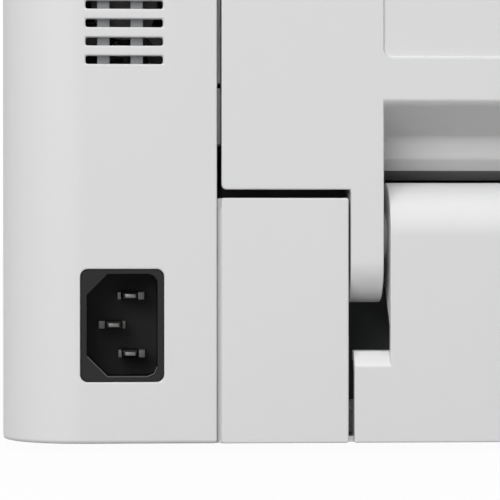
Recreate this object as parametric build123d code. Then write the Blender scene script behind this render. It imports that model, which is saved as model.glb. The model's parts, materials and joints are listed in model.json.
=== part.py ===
from build123d import *
from math import acos, atan2, cos, hypot, pi, radians, sin, sqrt
import os

# Laser multifunction printer. Millimetres: +X is the user's right, the front faces -Y, +Z is up.
# The origin is on the floor, in the middle between the rear face and the panel's front edge.

# Body casing
BODY_D = 380.0
PANEL_REACH = 20.0
FOOT_H = 2.0
DECK_RISE = 16.0
WALL = 2.5
CORNER_R = 20.0
WING_W = 51.9
SEAM = 1.1
SEAT = 0.3
BOTTOM_BEVEL = 0.5
TOP_FLANGE = 12.0
PAN_T = 1.5
PAN_RIM = 9.0
PAN_SLOTS = 5
PAN_SLOT_PITCH = 24.0
FOOT_R = 10.0
FOOT_INSET_X = 62.0
FOOT_INSET_Y = 40.0

# Rear: corner panels, door with two legs, rolled lower cover
CORNER_PANEL_W = 30.6
CORNER_PANEL_TOP = 60.9
FLANGE_DEPTH = 8.0
GROOVE = 1.0
POST_INSET = 14.0
POST_W = 10.0
POST_D = 8.0
FLANGE_T = 4.0
SILL_H = 8.0
FLANGE_RISE = 12.9
FLANGE_LAP = 1.5
DOOR_GAP = 2.0
DOOR_DROP = 14.0
DOOR_CORNER_R = 1.2
DOOR_RIM = 8.0
DOOR_EASE = 1.5
LEG_GAP = 0.5
LEG_W = 8.0
LEG_REACH = 16.2
LEG_NOSE_R = 10.0
ROLL_R = 13.0
ROLL_DROP = 11.1
ROLL_GAP = 1.6
WINDOW_RISE = 32.6
WINDOW_BEVEL = 1.5
CEILING_DEPTH = 15.0
CEILING_DROP = 6.9
NOSE_DROP = 10.5
CEILING_T = 2.4
BEND_H = 5.0
LEDGE_TOP = 24.0
LEDGE_DROP = 3.5
LEDGE_REACH = 8.7
DOOR_PIN_R = 5.4
PIN_FIT = 0.06
PLATE_SINK = 0.8
PLATE_RISE = 10.4
PLATE_DROP = 22.0
DOOR_RIBS = 7
DOOR_RIB_PITCH = 30.0
RIB_T = 1.6

# Power inlet, vents, grips and ports in the side covers
INLET_FROM_EDGE = 29.2
INLET_Z = 30.3
INLET_W = 19.7
INLET_H = 26.7
INLET_R = 1.8
INLET_D = 22.0
CAVITY_W = 16.9
CAVITY_H = 24.7
CAVITY_D = 15.0
CAVITY_CUT = 5.0
CAVITY_R = 2.4
BLADE_W = 4.0
BLADE_T = 2.0
BLADE_OFFSET = 2.0
BLADE_SPACING = 14.0
BLADE_SHORT = 1.5
VENT_W = 18.5
VENT_H = 2.0
VENT_PITCH = 4.4
VENT_COUNT = 7
VENT_Z = 93.9
VENT_FROM_EDGE = 29.7
SIDE_SLOTS = 8
SIDE_SLOT_PITCH = 7.0
SIDE_SLOT_H = 30.0
SIDE_SLOT_Z = 150.0
SIDE_SLOT_W = 2.4
SIDE_SLOT_START = 60.0
GRIP_W = 96.0
GRIP_H = 24.0
GRIP_DEPTH = 22.0
GRIP_Z = 66.0
PORT_FROM_EDGE = 28.0
PORT_FIT = 0.3
USB_HOST_Z = 40.0
USB_DEVICE_Z = 62.0
LAN_Z = 88.0
PORTS = ((USB_HOST_Z, 14.5, 7.0), (USB_DEVICE_Z, 12.0, 11.0), (LAN_Z, 16.0, 13.5))
FAN_SIZE = 40.0
FAN_D = 12.0
FAN_BORE_R = 18.2
FAN_R = 17.4
FAN_HUB_R = 8.0
FAN_BLADES = 7

# Inner frame, from the sheet's width outwards
SHEET_W = 216.0
SHEET_MARGIN = 14.0
FRAME_GAP = 5.0
FRAME_T = 1.5
DRIVE_ROOM = 23.5
FRAME_INSET = 42.0
FRAME_FLANGE = 11.0

# Paper cassette
CASSETTE_RIM = 58.0
CASSETTE_FRONT_TOP = 66.0
CASSETTE_FRONT_D = 14.0
TRAY_WALL = 2.4
TRAY_RIB_H = 1.2
CASSETTE_GAP = 2.5
SCOOP_W = 96.0
SCOOP_H = 22.0
BROW = 6.0
GUIDE_H = 34.0
GUIDE_LEN = 84.0
GUIDE_T = 2.4
GUIDE_FOOT_D = 48.0
GUIDE_FOOT_W = 22.0
GUIDE_RAIL = 16.0
GUIDE_REACH = 4.0
LIFT_INSET = 30.0
LIFT_LEN = 108.0
LIFT_INSET_X = 5.0
LIFT_T = 1.5
LIFT_PIVOT_W = 4.0
LIFT_EAR_H = 4.0
WELL_DEPTH = 0.8
STOP_INSET = 28.0
STOP_HALF_W = 17.0
STOP_RAIL = 13.0

# Front cover and multi-purpose tray, both on rolled bottom hinges
FRONT_GAP = 2.0
MP_H = 60.0
FRONT_COVER_H = 66.0
FRONT_ROLL_R = 10.0
EAR_R = 6.8
EAR_INSET = 14.0
EAR_T = 4.0
EAR_PIN_R = 3.0
BEZEL_DEPTH = 21.5
MOUTH_EASE = 3.0
DOOR_GRIP_W = 68.0
DOOR_GRIP_H = 9.0
DOOR_GRIP_DEPTH = 1.4
COVER_RIBS = 5
COVER_RIB_PITCH = 44.0
GROOVE_DEPTH = 0.8
GROOVE_H = 2.4
MP_GUIDE_INSET = 2.0
MP_GUIDE_H = 24.0
MP_GUIDE_REACH = 11.0

# Drive and rollers: axes as (y, z) in the side view
GEAR_MODULE = 1.5
GEAR_W = 6.0
GEAR_FREE = 0.35
PINION_TEETH = 12
MAIN_TEETH = 48
DRUM_TEETH = 24
FUSER_TEETH = 24
DRUM_SETBACK = 10.0
DRUM_RISE = 70.0
DRUM_R = 12.0
TRANSFER_R = 7.0
NIP = 0.4
FUSER_REACH = 103.0
FUSER_DROP = 8.0
HEAT_R = 12.5
PRESSURE_R = 12.5
FUSER_FRONT = 22.0
FUSER_BACK = 24.0
FUSER_OVER = 20.0
FUSER_UNDER = 18.0
FUSER_T = 3.0
FUSER_VENTS = 5
FUSER_VENT_PITCH = 40.0
ROLLER_ROOM = 15.0
SHAFT_R = 3.0
BEARING_RIM = 4.0
BEARING_FIT = 0.05
PICKUP_INSET = 62.0
PICKUP_RISE = 18.0
PICKUP_R = 14.0
PICKUP_HALF = 24.0
EXIT_SETBACK = 12.0
EXIT_RISE = 9.0
EXIT_R = 6.0
EXIT_TYRES = 4
EXIT_TYRE_W = 14.0
EXIT_PITCH = 56.0
BRACKET_GAP = 6.5
MOTOR_R = 21.0
MOTOR_LEN = 26.0
MOTOR_BEVEL = 2.0
MOTOR_SHAFT_R = 2.5
MOTOR_ANGLE = 225.0

# Laser unit, toner cartridge and boards
LASER_RISE = 32.0
LASER_H = 22.0
LASER_D = 124.0
LASER_EAR_D = 20.0
LASER_EAR_T = 3.0
POLYGON_INSET = 26.0
POLYGON_SEAT = 7.0
BEAM_SLOT_W = 8.0
POLYGON_R = 16.0
POLYGON_SIDES = 6
TONER_REACH = 86.0
TONER_RISE = 30.0
BOARD_T = 1.6
PSU_STANDOFF = 17.5
PSU_D = 140.0
PSU_H = 90.0
PSU_INSET = 30.0
PSU_Z = 14.0
COIL_D = 32.0
COIL_H = 28.0
COIL_T = 26.0
SINK_L = 50.0
SINK_FINS = 6
SINK_PITCH = 9.0
SINK_T = 22.0
STANDOFF_R = 3.0
MAINBOARD_INSET = 15.0
MAINBOARD_Z = 20.0
MAINBOARD_H = 130.0

# Output bin
BIN_CLEAR = 5.0
BIN_SLOPE = 12.0
BIN_INSET = 100.0
BIN_SLOT_RISE = 23.0
BIN_SLOT_H = 24.0
TRIM_INSET = 4.0
TRIM_RAKE = 30.0
STOP_LEN = 42.0
STOP_W = 60.0
STOP_HINGE_INSET = 28.0
STOP_T = 2.0

# Scanner, lid and document feeder
SCANNER_GAP = 1.5
SCANNER_H = 48.5
BEZEL_T = 3.0
GLASS_T = 3.0
GLASS_LAP = 5.0
GLASS_INSET = 23.0
GLASS_L = 304.0
GLASS_MARGIN = 4.0
STRIP_GAP = 20.0
STRIP_W = 24.0
CARRIAGE_W = 22.0
CARRIAGE_H = 26.0
RAIL_H = 8.0
RAIL_Y = 84.0
LID_GAP = 2.0
LID_H = 26.0
LID_INSET = 22.0
LID_AXIS_INSET = 14.0
LID_AXIS_RISE = 6.0
LID_ARM_INSET = 55.0
LID_ARM_W = 16.0
LID_KNUCKLE_R = 6.0
LID_PIN_R = 3.0
PAD_T = 4.5
PAD_LAP = 7.0
ADF_INSET = 7.0
ADF_W = 128.0
ADF_CHEEK = 26.0
ADF_BODY_H = 23.0
ADF_COVER_H = 23.0
ADF_ROLL_R = 20.0
ADF_ROLLER_R = 9.0
ADF_HINGE_R = 3.0
ADF_PIN_R = 1.8
TRAY_INSET = 53.0
TRAY_MARGIN = 16.0
TRAY_DROP = 8.0
TRAY_RISE = 18.0
TRAY_T = 3.0
TRAY_PIN_R = 2.0
PIN_DEPTH = 6.0
ADF_GUIDE_H = 11.0

# Control panel
PANEL_HALF_W = 122.0
PANEL_H = 60.0
PANEL_TOP_REACH = 11.0
PANEL_ROUND = 5.0
PANEL_PIN_R = 2.5
CHEEK_T = 4.0
SCREEN_W = 98.0
SCREEN_H = 44.0
SCREEN_X = -28.0
SCREEN_T = 2.0
KEY_R = 6.5
KEY_RISE = 1.2
KEY_DEPTH = 2.2
START_KEY_X = 60.0
POWER_KEY_X = 96.0

REAR = (BODY_D + PANEL_REACH) / 2
FRONT = REAR - BODY_D
MID_Y = (REAR + FRONT) / 2
CASSETTE_HALF = SHEET_W / 2 + SHEET_MARGIN
FRAME_X = CASSETTE_HALF + FRAME_GAP
FRAME_OUT = FRAME_X + FRAME_T
OPEN_HALF = FRAME_OUT + DRIVE_ROOM
WING_EDGE = OPEN_HALF + SEAM
SIDE = WING_EDGE + WING_W
PANEL_IN = OPEN_HALF - CORNER_PANEL_W
ROLL_Y = REAR - ROLL_R
DOOR_BOTTOM = CORNER_PANEL_TOP + DOOR_GAP
ROLL_Z = DOOR_BOTTOM - ROLL_DROP
WINDOW_TOP = ROLL_Z + WINDOW_RISE
FLANGE_BOTTOM = CORNER_PANEL_TOP + FLANGE_RISE
LEG_BOTTOM = ROLL_Z - LEG_REACH
LEG_OUT = PANEL_IN - LEG_GAP
LEG_IN = LEG_OUT - LEG_W
LOWER_HALF = LEG_IN - ROLL_GAP
FRAME_REAR = REAR - FRAME_INSET
FRAME_FRONT = FRONT + BEZEL_DEPTH + WALL + SEAT
EAR_X = OPEN_HALF - EAR_INSET
PAN_TOP = FOOT_H + PAN_T
TRAY_BOTTOM = PAN_TOP + FRAME_T + SEAT
LIFT_AXIS_Z = TRAY_BOTTOM + TRAY_WALL - WELL_DEPTH + SEAT + LIFT_T / 2
CASSETTE_REAR = FRAME_REAR - 2.0
GUIDE_Y = MID_Y + GUIDE_REACH
LIFT_FRONT = FRONT + LIFT_INSET
LIFT_HINGE_Y = LIFT_FRONT + LIFT_LEN
STOP_Y = CASSETTE_REAR - STOP_INSET
MP_BOTTOM = CASSETTE_FRONT_TOP + FRONT_GAP
MP_TOP = MP_BOTTOM + MP_H
COVER_BOTTOM = MP_TOP + FRONT_GAP
FRONT_COVER_TOP = COVER_BOTTOM + FRONT_COVER_H
MOUTH_HALF_W = CASSETTE_HALF + MOUTH_EASE
MP_GUIDE_X = SHEET_W / 2 - MP_GUIDE_INSET
DRUM_Y = MID_Y - DRUM_SETBACK
DRUM_Z = CASSETTE_RIM + DRUM_RISE
TRANSFER_Z = DRUM_Z - DRUM_R - TRANSFER_R - NIP
FUSER_Y = DRUM_Y + FUSER_REACH
FUSER_NIP_Z = DRUM_Z - FUSER_DROP
HEAT_Z = FUSER_NIP_Z + NIP / 2 + HEAT_R
PRESSURE_Z = FUSER_NIP_Z - NIP / 2 - PRESSURE_R
ROLLER_HALF = FRAME_X - ROLLER_ROOM
PICKUP_Y = FRONT + PICKUP_INSET
PICKUP_Z = CASSETTE_RIM + PICKUP_RISE
GEAR_X = FRAME_OUT + 1.0
SHAFT_END = GEAR_X - 0.5
BRACKET_X = GEAR_X + GEAR_W + BRACKET_GAP
LASER_BOTTOM = DRUM_Z + LASER_RISE
LASER_FRONT = DRUM_Y - LASER_D / 2
LASER_REAR = DRUM_Y + LASER_D / 2
TONER_FRONT = DRUM_Y - TONER_REACH
TONER_TOP = DRUM_Z + TONER_RISE
PSU_X = FRAME_OUT + PSU_STANDOFF
MAINBOARD_X = SIDE - MAINBOARD_INSET
BIN_REAR = REAR - BIN_INSET
BIN_LOW_Z = LASER_BOTTOM + LASER_H + BIN_CLEAR
BIN_FRONT_Z = BIN_LOW_Z + BIN_SLOPE
BIN_SLOT_Z = BIN_LOW_Z + BIN_SLOT_RISE
BIN_SLOT_TOP = BIN_SLOT_Z + BIN_SLOT_H
STOP_HINGE_Y = FRONT + STOP_HINGE_INSET
EXIT_Y = BIN_REAR + EXIT_SETBACK
EXIT_Z = BIN_SLOT_Z + EXIT_RISE
COVER_TOP = BIN_SLOT_TOP + DECK_RISE
DOOR_TOP = COVER_TOP - DOOR_DROP
PLATE_BOTTOM = WINDOW_TOP + PLATE_RISE
PLATE_TOP = DOOR_TOP - PLATE_DROP
FRAME_TOP = COVER_TOP - WALL - SEAT
SCANNER_BOTTOM = COVER_TOP + SCANNER_GAP
SCANNER_TOP = SCANNER_BOTTOM + SCANNER_H
GLASS_TOP = SCANNER_TOP - BEZEL_T
GLASS_X1 = SIDE - GLASS_INSET
GLASS_X0 = GLASS_X1 - GLASS_L
GLASS_HALF_D = SHEET_W / 2 + GLASS_MARGIN
STRIP_X1 = GLASS_X0 - STRIP_GAP
STRIP_X0 = STRIP_X1 - STRIP_W
LID_BOTTOM = SCANNER_TOP + LID_GAP
LID_TOP = LID_BOTTOM + LID_H
LID_REAR = REAR - LID_INSET
LID_AXIS_Y = REAR - LID_AXIS_INSET
LID_AXIS_Z = LID_BOTTOM + LID_AXIS_RISE
LID_ARM_X = SIDE - LID_ARM_INSET
TRAY_HALF_D = SHEET_W / 2 + TRAY_MARGIN
ADF_HALF_D = TRAY_HALF_D + ADF_CHEEK
ADF_X0 = -SIDE + ADF_INSET
ADF_X1 = ADF_X0 + ADF_W
ADF_BASE = LID_TOP
ADF_SPLIT = ADF_BASE + ADF_BODY_H
ADF_TOP = ADF_SPLIT + ADF_COVER_H
TRAY_Z = ADF_SPLIT - TRAY_DROP
TRAY_X1 = SIDE - TRAY_INSET
ADF_GUIDE_Y = SHEET_W / 2 + GLASS_MARGIN
PANEL_BOTTOM = SCANNER_TOP - PANEL_H


def rect(u0, u1, v0, v1, r=0.0):
    """Rectangle between two corners, its corners rounded where r is given."""
    shape = RectangleRounded(u1 - u0, v1 - v0, r) if r else Rectangle(u1 - u0, v1 - v0)
    return Pos((u0 + u1) / 2, (v0 + v1) / 2) * shape


def disc(u, v, r):
    return Pos(u, v) * Circle(r)


def area(*points):
    return make_face(Polyline(*points, close=True))


def along_x(shape, x0, x1):
    """Solid with a side view of shape, drawn in y and z, from x0 to x1."""
    return extrude(Plane.YZ.offset(x0) * shape, x1 - x0)


def along_y(shape, y0, y1):
    """Solid with a front view of shape, drawn in x and z, from y0 to y1."""
    return extrude(Plane((0, y0, 0), (1, 0, 0), (0, -1, 0)) * shape, y0 - y1)


def along_z(shape, z0, z1):
    """Solid with a plan of shape, drawn in x and y, from z0 to z1."""
    return extrude(Plane.XY.offset(z0) * shape, z1 - z0)


def other_side(part):
    return mirror(part, Plane.YZ)


def both_sides(part):
    return part + other_side(part)


def casing_plan(inset=0.0):
    """Plan of the body, rounded at its corners, inset from the outer face."""
    half = SIDE - inset
    return rect(-half, half, FRONT + inset, REAR - inset, CORNER_R - inset)


def base_pan():
    """Pressed bottom pan: a flat sheet with a rim at both sides and slots for cooling air."""
    pan = along_z(casing_plan(WALL + SEAT), FOOT_H, PAN_TOP)
    rim = along_z(casing_plan(WALL + SEAT) - casing_plan(WALL + SEAT + PAN_T), PAN_TOP, PAN_RIM)
    pan += rim - along_z(rect(-WING_EDGE, WING_EDGE, FRONT, REAR), PAN_TOP, PAN_RIM)
    for i in range(PAN_SLOTS):
        y = MID_Y + PAN_SLOT_PITCH * (i - (PAN_SLOTS - 1) / 2)
        pan -= along_z(rect(FRAME_OUT + 12, FRAME_OUT + 52, y - 2.5, y + 2.5, 2), FOOT_H, PAN_TOP)
    return pan


def rubber_feet():
    """Four round feet pressed to the underside of the pan."""
    feet = Sketch()
    for x in (-SIDE + FOOT_INSET_X, SIDE - FOOT_INSET_X):
        for y in (FRONT + FOOT_INSET_Y, REAR - FOOT_INSET_Y):
            feet += disc(x, y, FOOT_R)
    return along_z(feet, 0, FOOT_H)


def side_cover():
    """Moulded shell of one side: a flat wall that wraps round the rear and front corners."""
    body = along_z(casing_plan(), FOOT_H, COVER_TOP)
    body = chamfer(body.faces().sort_by(Axis.Z)[0].edges(), BOTTOM_BEVEL)
    shell = body - along_z(casing_plan(WALL), FOOT_H, COVER_TOP - WALL)
    shell -= along_z(casing_plan(WALL + TOP_FLANGE), COVER_TOP - WALL, COVER_TOP)
    cover = shell & along_z(rect(WING_EDGE, SIDE, FRONT, REAR), FOOT_H, COVER_TOP)
    half = GRIP_W / 2
    pocket = rect(MID_Y - half - WALL, MID_Y + half + WALL, GRIP_Z - WALL, GRIP_Z + GRIP_H + WALL, 5)
    cover += along_x(pocket, SIDE - GRIP_DEPTH, SIDE - WALL)
    grip = rect(MID_Y - half, MID_Y + half, GRIP_Z, GRIP_Z + GRIP_H, 4)
    cover -= along_x(grip, SIDE - GRIP_DEPTH + WALL, SIDE)
    for i in range(SIDE_SLOTS):
        y = MID_Y + SIDE_SLOT_START + SIDE_SLOT_PITCH * i
        slot = rect(y - SIDE_SLOT_W / 2, y + SIDE_SLOT_W / 2, SIDE_SLOT_Z, SIDE_SLOT_Z + SIDE_SLOT_H)
        cover -= along_x(slot, SIDE - WALL, SIDE)
    return cover


def right_cover():
    """Side cover with the power inlet's cut-out and a louvre before the fan."""
    x = SIDE - INLET_FROM_EDGE
    w = INLET_W / 2 + SEAT / 2
    h = INLET_H / 2 + SEAT / 2
    cut = rect(x - w, x + w, INLET_Z - h, INLET_Z + h, INLET_R)
    cover = side_cover() - along_y(cut, REAR - 2 * WALL, REAR)
    v = SIDE - VENT_FROM_EDGE
    for i in range(VENT_COUNT):
        z = VENT_Z + VENT_PITCH * i
        slot = rect(v - VENT_W / 2, v + VENT_W / 2, z - VENT_H / 2, z + VENT_H / 2)
        cover -= along_y(slot, REAR - 2 * WALL, REAR)
    return cover


def port_outlines(grow=0.0):
    """Rear outlines of the three data ports on the left side, from the bottom up."""
    x = -SIDE + PORT_FROM_EDGE
    ports = Sketch()
    for z, w, h in PORTS:
        ports += rect(x - w / 2 - grow, x + w / 2 + grow, z - h / 2 - grow, z + h / 2 + grow)
    return ports


def left_cover():
    """Side cover with openings for the data ports."""
    return other_side(side_cover()) - along_y(port_outlines(PORT_FIT), REAR - 2 * WALL, REAR)


def rear_frame():
    """Moulded rear frame: two corner panels, the uprights behind the seams and a sill."""
    top = CORNER_PANEL_TOP
    face = rect(PANEL_IN, OPEN_HALF, FOOT_H, top, 0.6)
    panel = along_y(face, REAR - WALL, REAR)
    panel += along_y(rect(PANEL_IN, OPEN_HALF, PAN_TOP, top - WALL), REAR - 2 * WALL, REAR - WALL)
    lap = rect(PANEL_IN, WING_EDGE + 6, PAN_RIM, top)
    panel += along_y(lap, REAR - 2 * WALL, REAR - WALL - SEAT / 3)
    edge = WING_EDGE - SEAT / 3
    strip = rect(OPEN_HALF - 1, edge, PAN_TOP, top - WALL)
    panel += along_y(strip, REAR - 2 * WALL, REAR - GROOVE)
    panel += along_y(rect(OPEN_HALF - 1, edge, FOOT_H, PAN_TOP), REAR - WALL, REAR - GROOVE)
    flange_back = REAR - FLANGE_DEPTH
    post_back = flange_back - FLANGE_T
    post_front = post_back - POST_D
    post_in = OPEN_HALF - POST_INSET
    post_out = post_in + POST_W
    column = rect(post_in, post_out, post_front, REAR - 2 * WALL)
    panel += along_z(column, PAN_TOP, top - WALL)
    panel += along_z(rect(post_in, post_out, post_front, post_back), top - WALL, FRAME_TOP)
    flange = rect(post_in, WING_EDGE + FLANGE_LAP, FLANGE_BOTTOM, FRAME_TOP)
    panel += along_y(flange, post_back, flange_back)
    frame = both_sides(panel)
    frame += along_y(rect(-post_out, post_out, DOOR_TOP, FRAME_TOP), post_front, post_back)
    sill = rect(-PANEL_IN, PANEL_IN, PAN_TOP, PAN_TOP + SILL_H)
    frame += along_y(sill, post_back - FLANGE_T, post_back)
    foot = rect(PANEL_IN - 2, post_in + 2, post_front, post_back)
    return frame + both_sides(along_z(foot, PAN_TOP, PAN_TOP + SILL_H))


def rear_lower_cover():
    """Lower rear cover: its top rolls inwards, and its end discs carry the door's hinge pins."""
    plate = rect(REAR - WALL, REAR, FOOT_H, ROLL_Z)
    ring = disc(ROLL_Y, ROLL_Z, ROLL_R) - disc(ROLL_Y, ROLL_Z, ROLL_R - WALL)
    ring -= rect(ROLL_Y - ROLL_R, ROLL_Y + ROLL_R, ROLL_Z - ROLL_R, ROLL_Z)
    cover = along_x(plate + ring, -LOWER_HALF, LOWER_HALF)
    slope = LEDGE_TOP - LEDGE_DROP
    inner = REAR - FLANGE_DEPTH
    ledge = area((REAR, FOOT_H), (REAR, slope), (REAR - LEDGE_DROP, LEDGE_TOP), (inner, LEDGE_TOP),
                 (inner, LEDGE_TOP - WALL), (REAR - LEDGE_DROP - 1, LEDGE_TOP - WALL),
                 (REAR - WALL, slope - WALL), (REAR - WALL, FOOT_H))
    end = disc(ROLL_Y, ROLL_Z, ROLL_R)
    end += area((REAR - WALL, ROLL_Z), (REAR - WALL, LEDGE_TOP + 6), (ROLL_Y, ROLL_Z - ROLL_R))
    sides = along_x(ledge, LOWER_HALF - 1, LOWER_HALF + LEDGE_REACH)
    sides += along_x(end, LOWER_HALF - WALL, LOWER_HALF)
    sides += along_x(disc(ROLL_Y, ROLL_Z, DOOR_PIN_R), LOWER_HALF, LEG_OUT + SEAT / 2)
    sides += along_x(rect(inner, REAR - WALL, PAN_TOP, LEDGE_TOP), LOWER_HALF - WALL, LOWER_HALF)
    return cover + both_sides(sides)


def rear_door():
    """Rear door: a face with two legs on the hinge pins, a window and a curved paper guide."""
    inner = REAR - WALL
    face = area((inner, DOOR_BOTTOM + DOOR_EASE), (inner + DOOR_EASE, DOOR_BOTTOM), (REAR, DOOR_BOTTOM),
                (REAR, DOOR_TOP), (inner, DOOR_TOP))
    outline = along_y(rect(-OPEN_HALF, OPEN_HALF, DOOR_BOTTOM, DOOR_TOP, DOOR_CORNER_R), inner, REAR)
    door = along_x(face, -OPEN_HALF, OPEN_HALF) & outline
    window_z = DOOR_BOTTOM - 1
    door -= along_y(rect(-LEG_IN, LEG_IN, window_z, WINDOW_TOP), inner, REAR)
    door -= along_y(rect(-LEG_IN, LEG_IN, PLATE_BOTTOM, PLATE_TOP, 2), REAR - PLATE_SINK, REAR)
    rim = rect(REAR - DOOR_RIM + SEAT, inner, FLANGE_BOTTOM, DOOR_TOP)
    leg = rect(ROLL_Y - 9, REAR, LEG_BOTTOM, DOOR_BOTTOM + 22, LEG_NOSE_R)
    leg -= disc(ROLL_Y, ROLL_Z, DOOR_PIN_R + PIN_FIT)
    sides = along_x(rim, OPEN_HALF - WALL, OPEN_HALF)
    sides += along_x(leg, LEG_IN, LEG_OUT)
    door += both_sides(sides)
    y = REAR - CEILING_DEPTH - WINDOW_BEVEL
    z = WINDOW_TOP - WINDOW_BEVEL
    bend = z - CEILING_DROP
    nose = bend - NOSE_DROP
    upper = y - CEILING_T
    guide = area((REAR, WINDOW_TOP), (REAR - WINDOW_BEVEL, z), (y, bend), (y, bend - BEND_H), (y - 4, nose),
                 (y - 5.8, nose + 1.6), (upper, bend - BEND_H + 1), (upper, bend + 1.6),
                 (REAR - WINDOW_BEVEL, z + 3.6), (REAR - WINDOW_BEVEL, WINDOW_TOP + 4),
                 (REAR, WINDOW_TOP + 4))
    corners = [v for v in guide.vertices() if min(abs(v.Y - bend + BEND_H), abs(v.Y - bend)) < 0.01]
    guide = fillet(corners, CEILING_T - 0.1)
    door += along_x(guide, -LEG_IN, LEG_IN)
    rib = area((inner, WINDOW_TOP + 3), (inner - 12, WINDOW_TOP - 2), (inner - 9, WINDOW_TOP + 20),
               (inner - 7, PLATE_TOP - 20), (inner, DOOR_TOP - 8))
    for i in range(DOOR_RIBS):
        x = (i - (DOOR_RIBS - 1) / 2) * DOOR_RIB_PITCH
        door += along_x(rib, x - RIB_T / 2, x + RIB_T / 2)
    return door


def cassette_tray():
    """Open paper cassette on the frame's runners, with low lips that the paper guides slide on."""
    half = CASSETTE_HALF
    front = FRONT + CASSETTE_FRONT_D
    wall = TRAY_WALL
    tray = along_z(rect(-half, half, front, CASSETTE_REAR, 3), TRAY_BOTTOM, CASSETTE_RIM)
    hollow = rect(-half + wall, half - wall, front + wall, CASSETTE_REAR - wall, 2)
    tray -= along_z(hollow, TRAY_BOTTOM + wall, CASSETTE_RIM)
    well_half = SHEET_W / 2 - LIFT_INSET_X + 1
    well = rect(-well_half, well_half, LIFT_FRONT - 1, LIFT_HINGE_Y + LIFT_T)
    floor = TRAY_BOTTOM + wall
    ribs = Part()
    for i in range(4):
        y = LIFT_HINGE_Y + 40 + 42 * i
        ribs += along_y(rect(-half + wall, half - wall, floor, floor + TRAY_RIB_H), y, y + RIB_T)
    for y in (GUIDE_Y - GUIDE_RAIL, GUIDE_Y + GUIDE_RAIL):
        ribs += along_z(rect(-half + wall, half - wall, y - 1, y + 1), floor, floor + TRAY_RIB_H)
    for x in (-STOP_RAIL, STOP_RAIL):
        rail = rect(x - 1, x + 1, GUIDE_Y + GUIDE_RAIL, CASSETTE_REAR - wall)
        ribs += along_z(rail, floor, floor + TRAY_RIB_H)
    ear = rect(LIFT_HINGE_Y - LIFT_EAR_H, LIFT_HINGE_Y + LIFT_EAR_H, floor, floor + LIFT_EAR_H)
    tray += ribs + both_sides(along_x(ear, well_half, well_half + LIFT_PIVOT_W))
    pivot = disc(LIFT_HINGE_Y, LIFT_AXIS_Z, LIFT_T / 2 + BEARING_FIT)
    tray -= both_sides(along_x(pivot, well_half, well_half + LIFT_PIVOT_W - SEAT))
    return tray - along_z(well, floor - WELL_DEPTH, floor)


def cassette_front():
    """Front of the cassette: a face with a deep scoop for the fingers under a rounded brow."""
    top = CASSETTE_FRONT_TOP
    back = FRONT + CASSETTE_FRONT_D
    bottom = PAN_TOP + SEAT
    side = area((FRONT, bottom), (FRONT, top - 2), (FRONT + 2, top), (back, top), (back, bottom))
    front = along_x(side, -OPEN_HALF, OPEN_HALF)
    hollow = rect(-OPEN_HALF + WALL, OPEN_HALF - WALL, bottom + WALL, top - WALL)
    middle = rect(-CASSETTE_HALF, CASSETTE_HALF, bottom, top)
    front -= along_y(hollow - middle, FRONT + WALL, back)
    scoop = rect(-SCOOP_W / 2, SCOOP_W / 2, bottom - SCOOP_H, bottom + SCOOP_H, 8)
    front -= along_y(scoop, FRONT, back - WALL)
    brow = area((FRONT, bottom + SCOOP_H), (FRONT, bottom + SCOOP_H + BROW), (FRONT + BROW, bottom + SCOOP_H))
    return front - along_x(brow, -SCOOP_W / 2 + BROW, SCOOP_W / 2 - BROW)


def lift_plate():
    """Steel plate that lifts the front of the paper stack, with a rolled rear edge as its pivot."""
    bottom = TRAY_BOTTOM + TRAY_WALL - WELL_DEPTH + SEAT
    half = SHEET_W / 2 - LIFT_INSET_X
    plate = along_z(rect(-half, half, LIFT_FRONT, LIFT_HINGE_Y), bottom, bottom + LIFT_T)
    end = half + LIFT_PIVOT_W
    plate += along_x(disc(LIFT_HINGE_Y, LIFT_AXIS_Z, LIFT_T / 2), -end, end)
    for x in (-half / 2, half / 2):
        hole = rect(x - 12, x + 12, LIFT_FRONT + 30, LIFT_HINGE_Y - 20, 4)
        plate -= along_z(hole, bottom, bottom + LIFT_T)
    lip = rect(LIFT_FRONT, LIFT_FRONT + LIFT_T, bottom, bottom + 2 * LIFT_T)
    return plate + along_x(lip, -half + 4, half - 4)


def right_paper_guide():
    """Side guide of the cassette: an upright fence on a foot with a finger tab."""
    x = SHEET_W / 2 + SEAT
    z = TRAY_BOTTOM + TRAY_WALL + TRAY_RIB_H + SEAT
    fence = rect(GUIDE_Y - GUIDE_LEN / 2, GUIDE_Y + GUIDE_LEN / 2, z, z + GUIDE_H, 3)
    guide = along_x(fence, x, x + GUIDE_T)
    reach = GUIDE_FOOT_D / 2
    guide += along_z(rect(x - GUIDE_FOOT_W, x + GUIDE_T, GUIDE_Y - reach, GUIDE_Y + reach, 2), z, z + 1.2)
    web = area((x + GUIDE_T, z), (x + GUIDE_T + 7, z), (x + GUIDE_T, z + GUIDE_H - 8))
    for y in (GUIDE_Y - reach + 4, GUIDE_Y + reach - 6):
        guide += along_y(web, y, y + 2)
    return guide


def rear_paper_stop():
    """Rear stop of the cassette: a fence on a foot that slides along the middle of the floor."""
    z = TRAY_BOTTOM + TRAY_WALL + TRAY_RIB_H + SEAT
    stop = along_y(rect(-STOP_HALF_W, STOP_HALF_W, z, z + GUIDE_H, 4), STOP_Y, STOP_Y + GUIDE_T)
    stop += along_z(rect(-STOP_HALF_W, STOP_HALF_W, STOP_Y, STOP_Y + 22, 2), z, z + 1.4)
    web = area((STOP_Y + GUIDE_T, z), (STOP_Y + 20, z), (STOP_Y + GUIDE_T, z + GUIDE_H - 6))
    for x in (-10, 8):
        stop += along_x(web, x, x + 2)
    return stop


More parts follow.
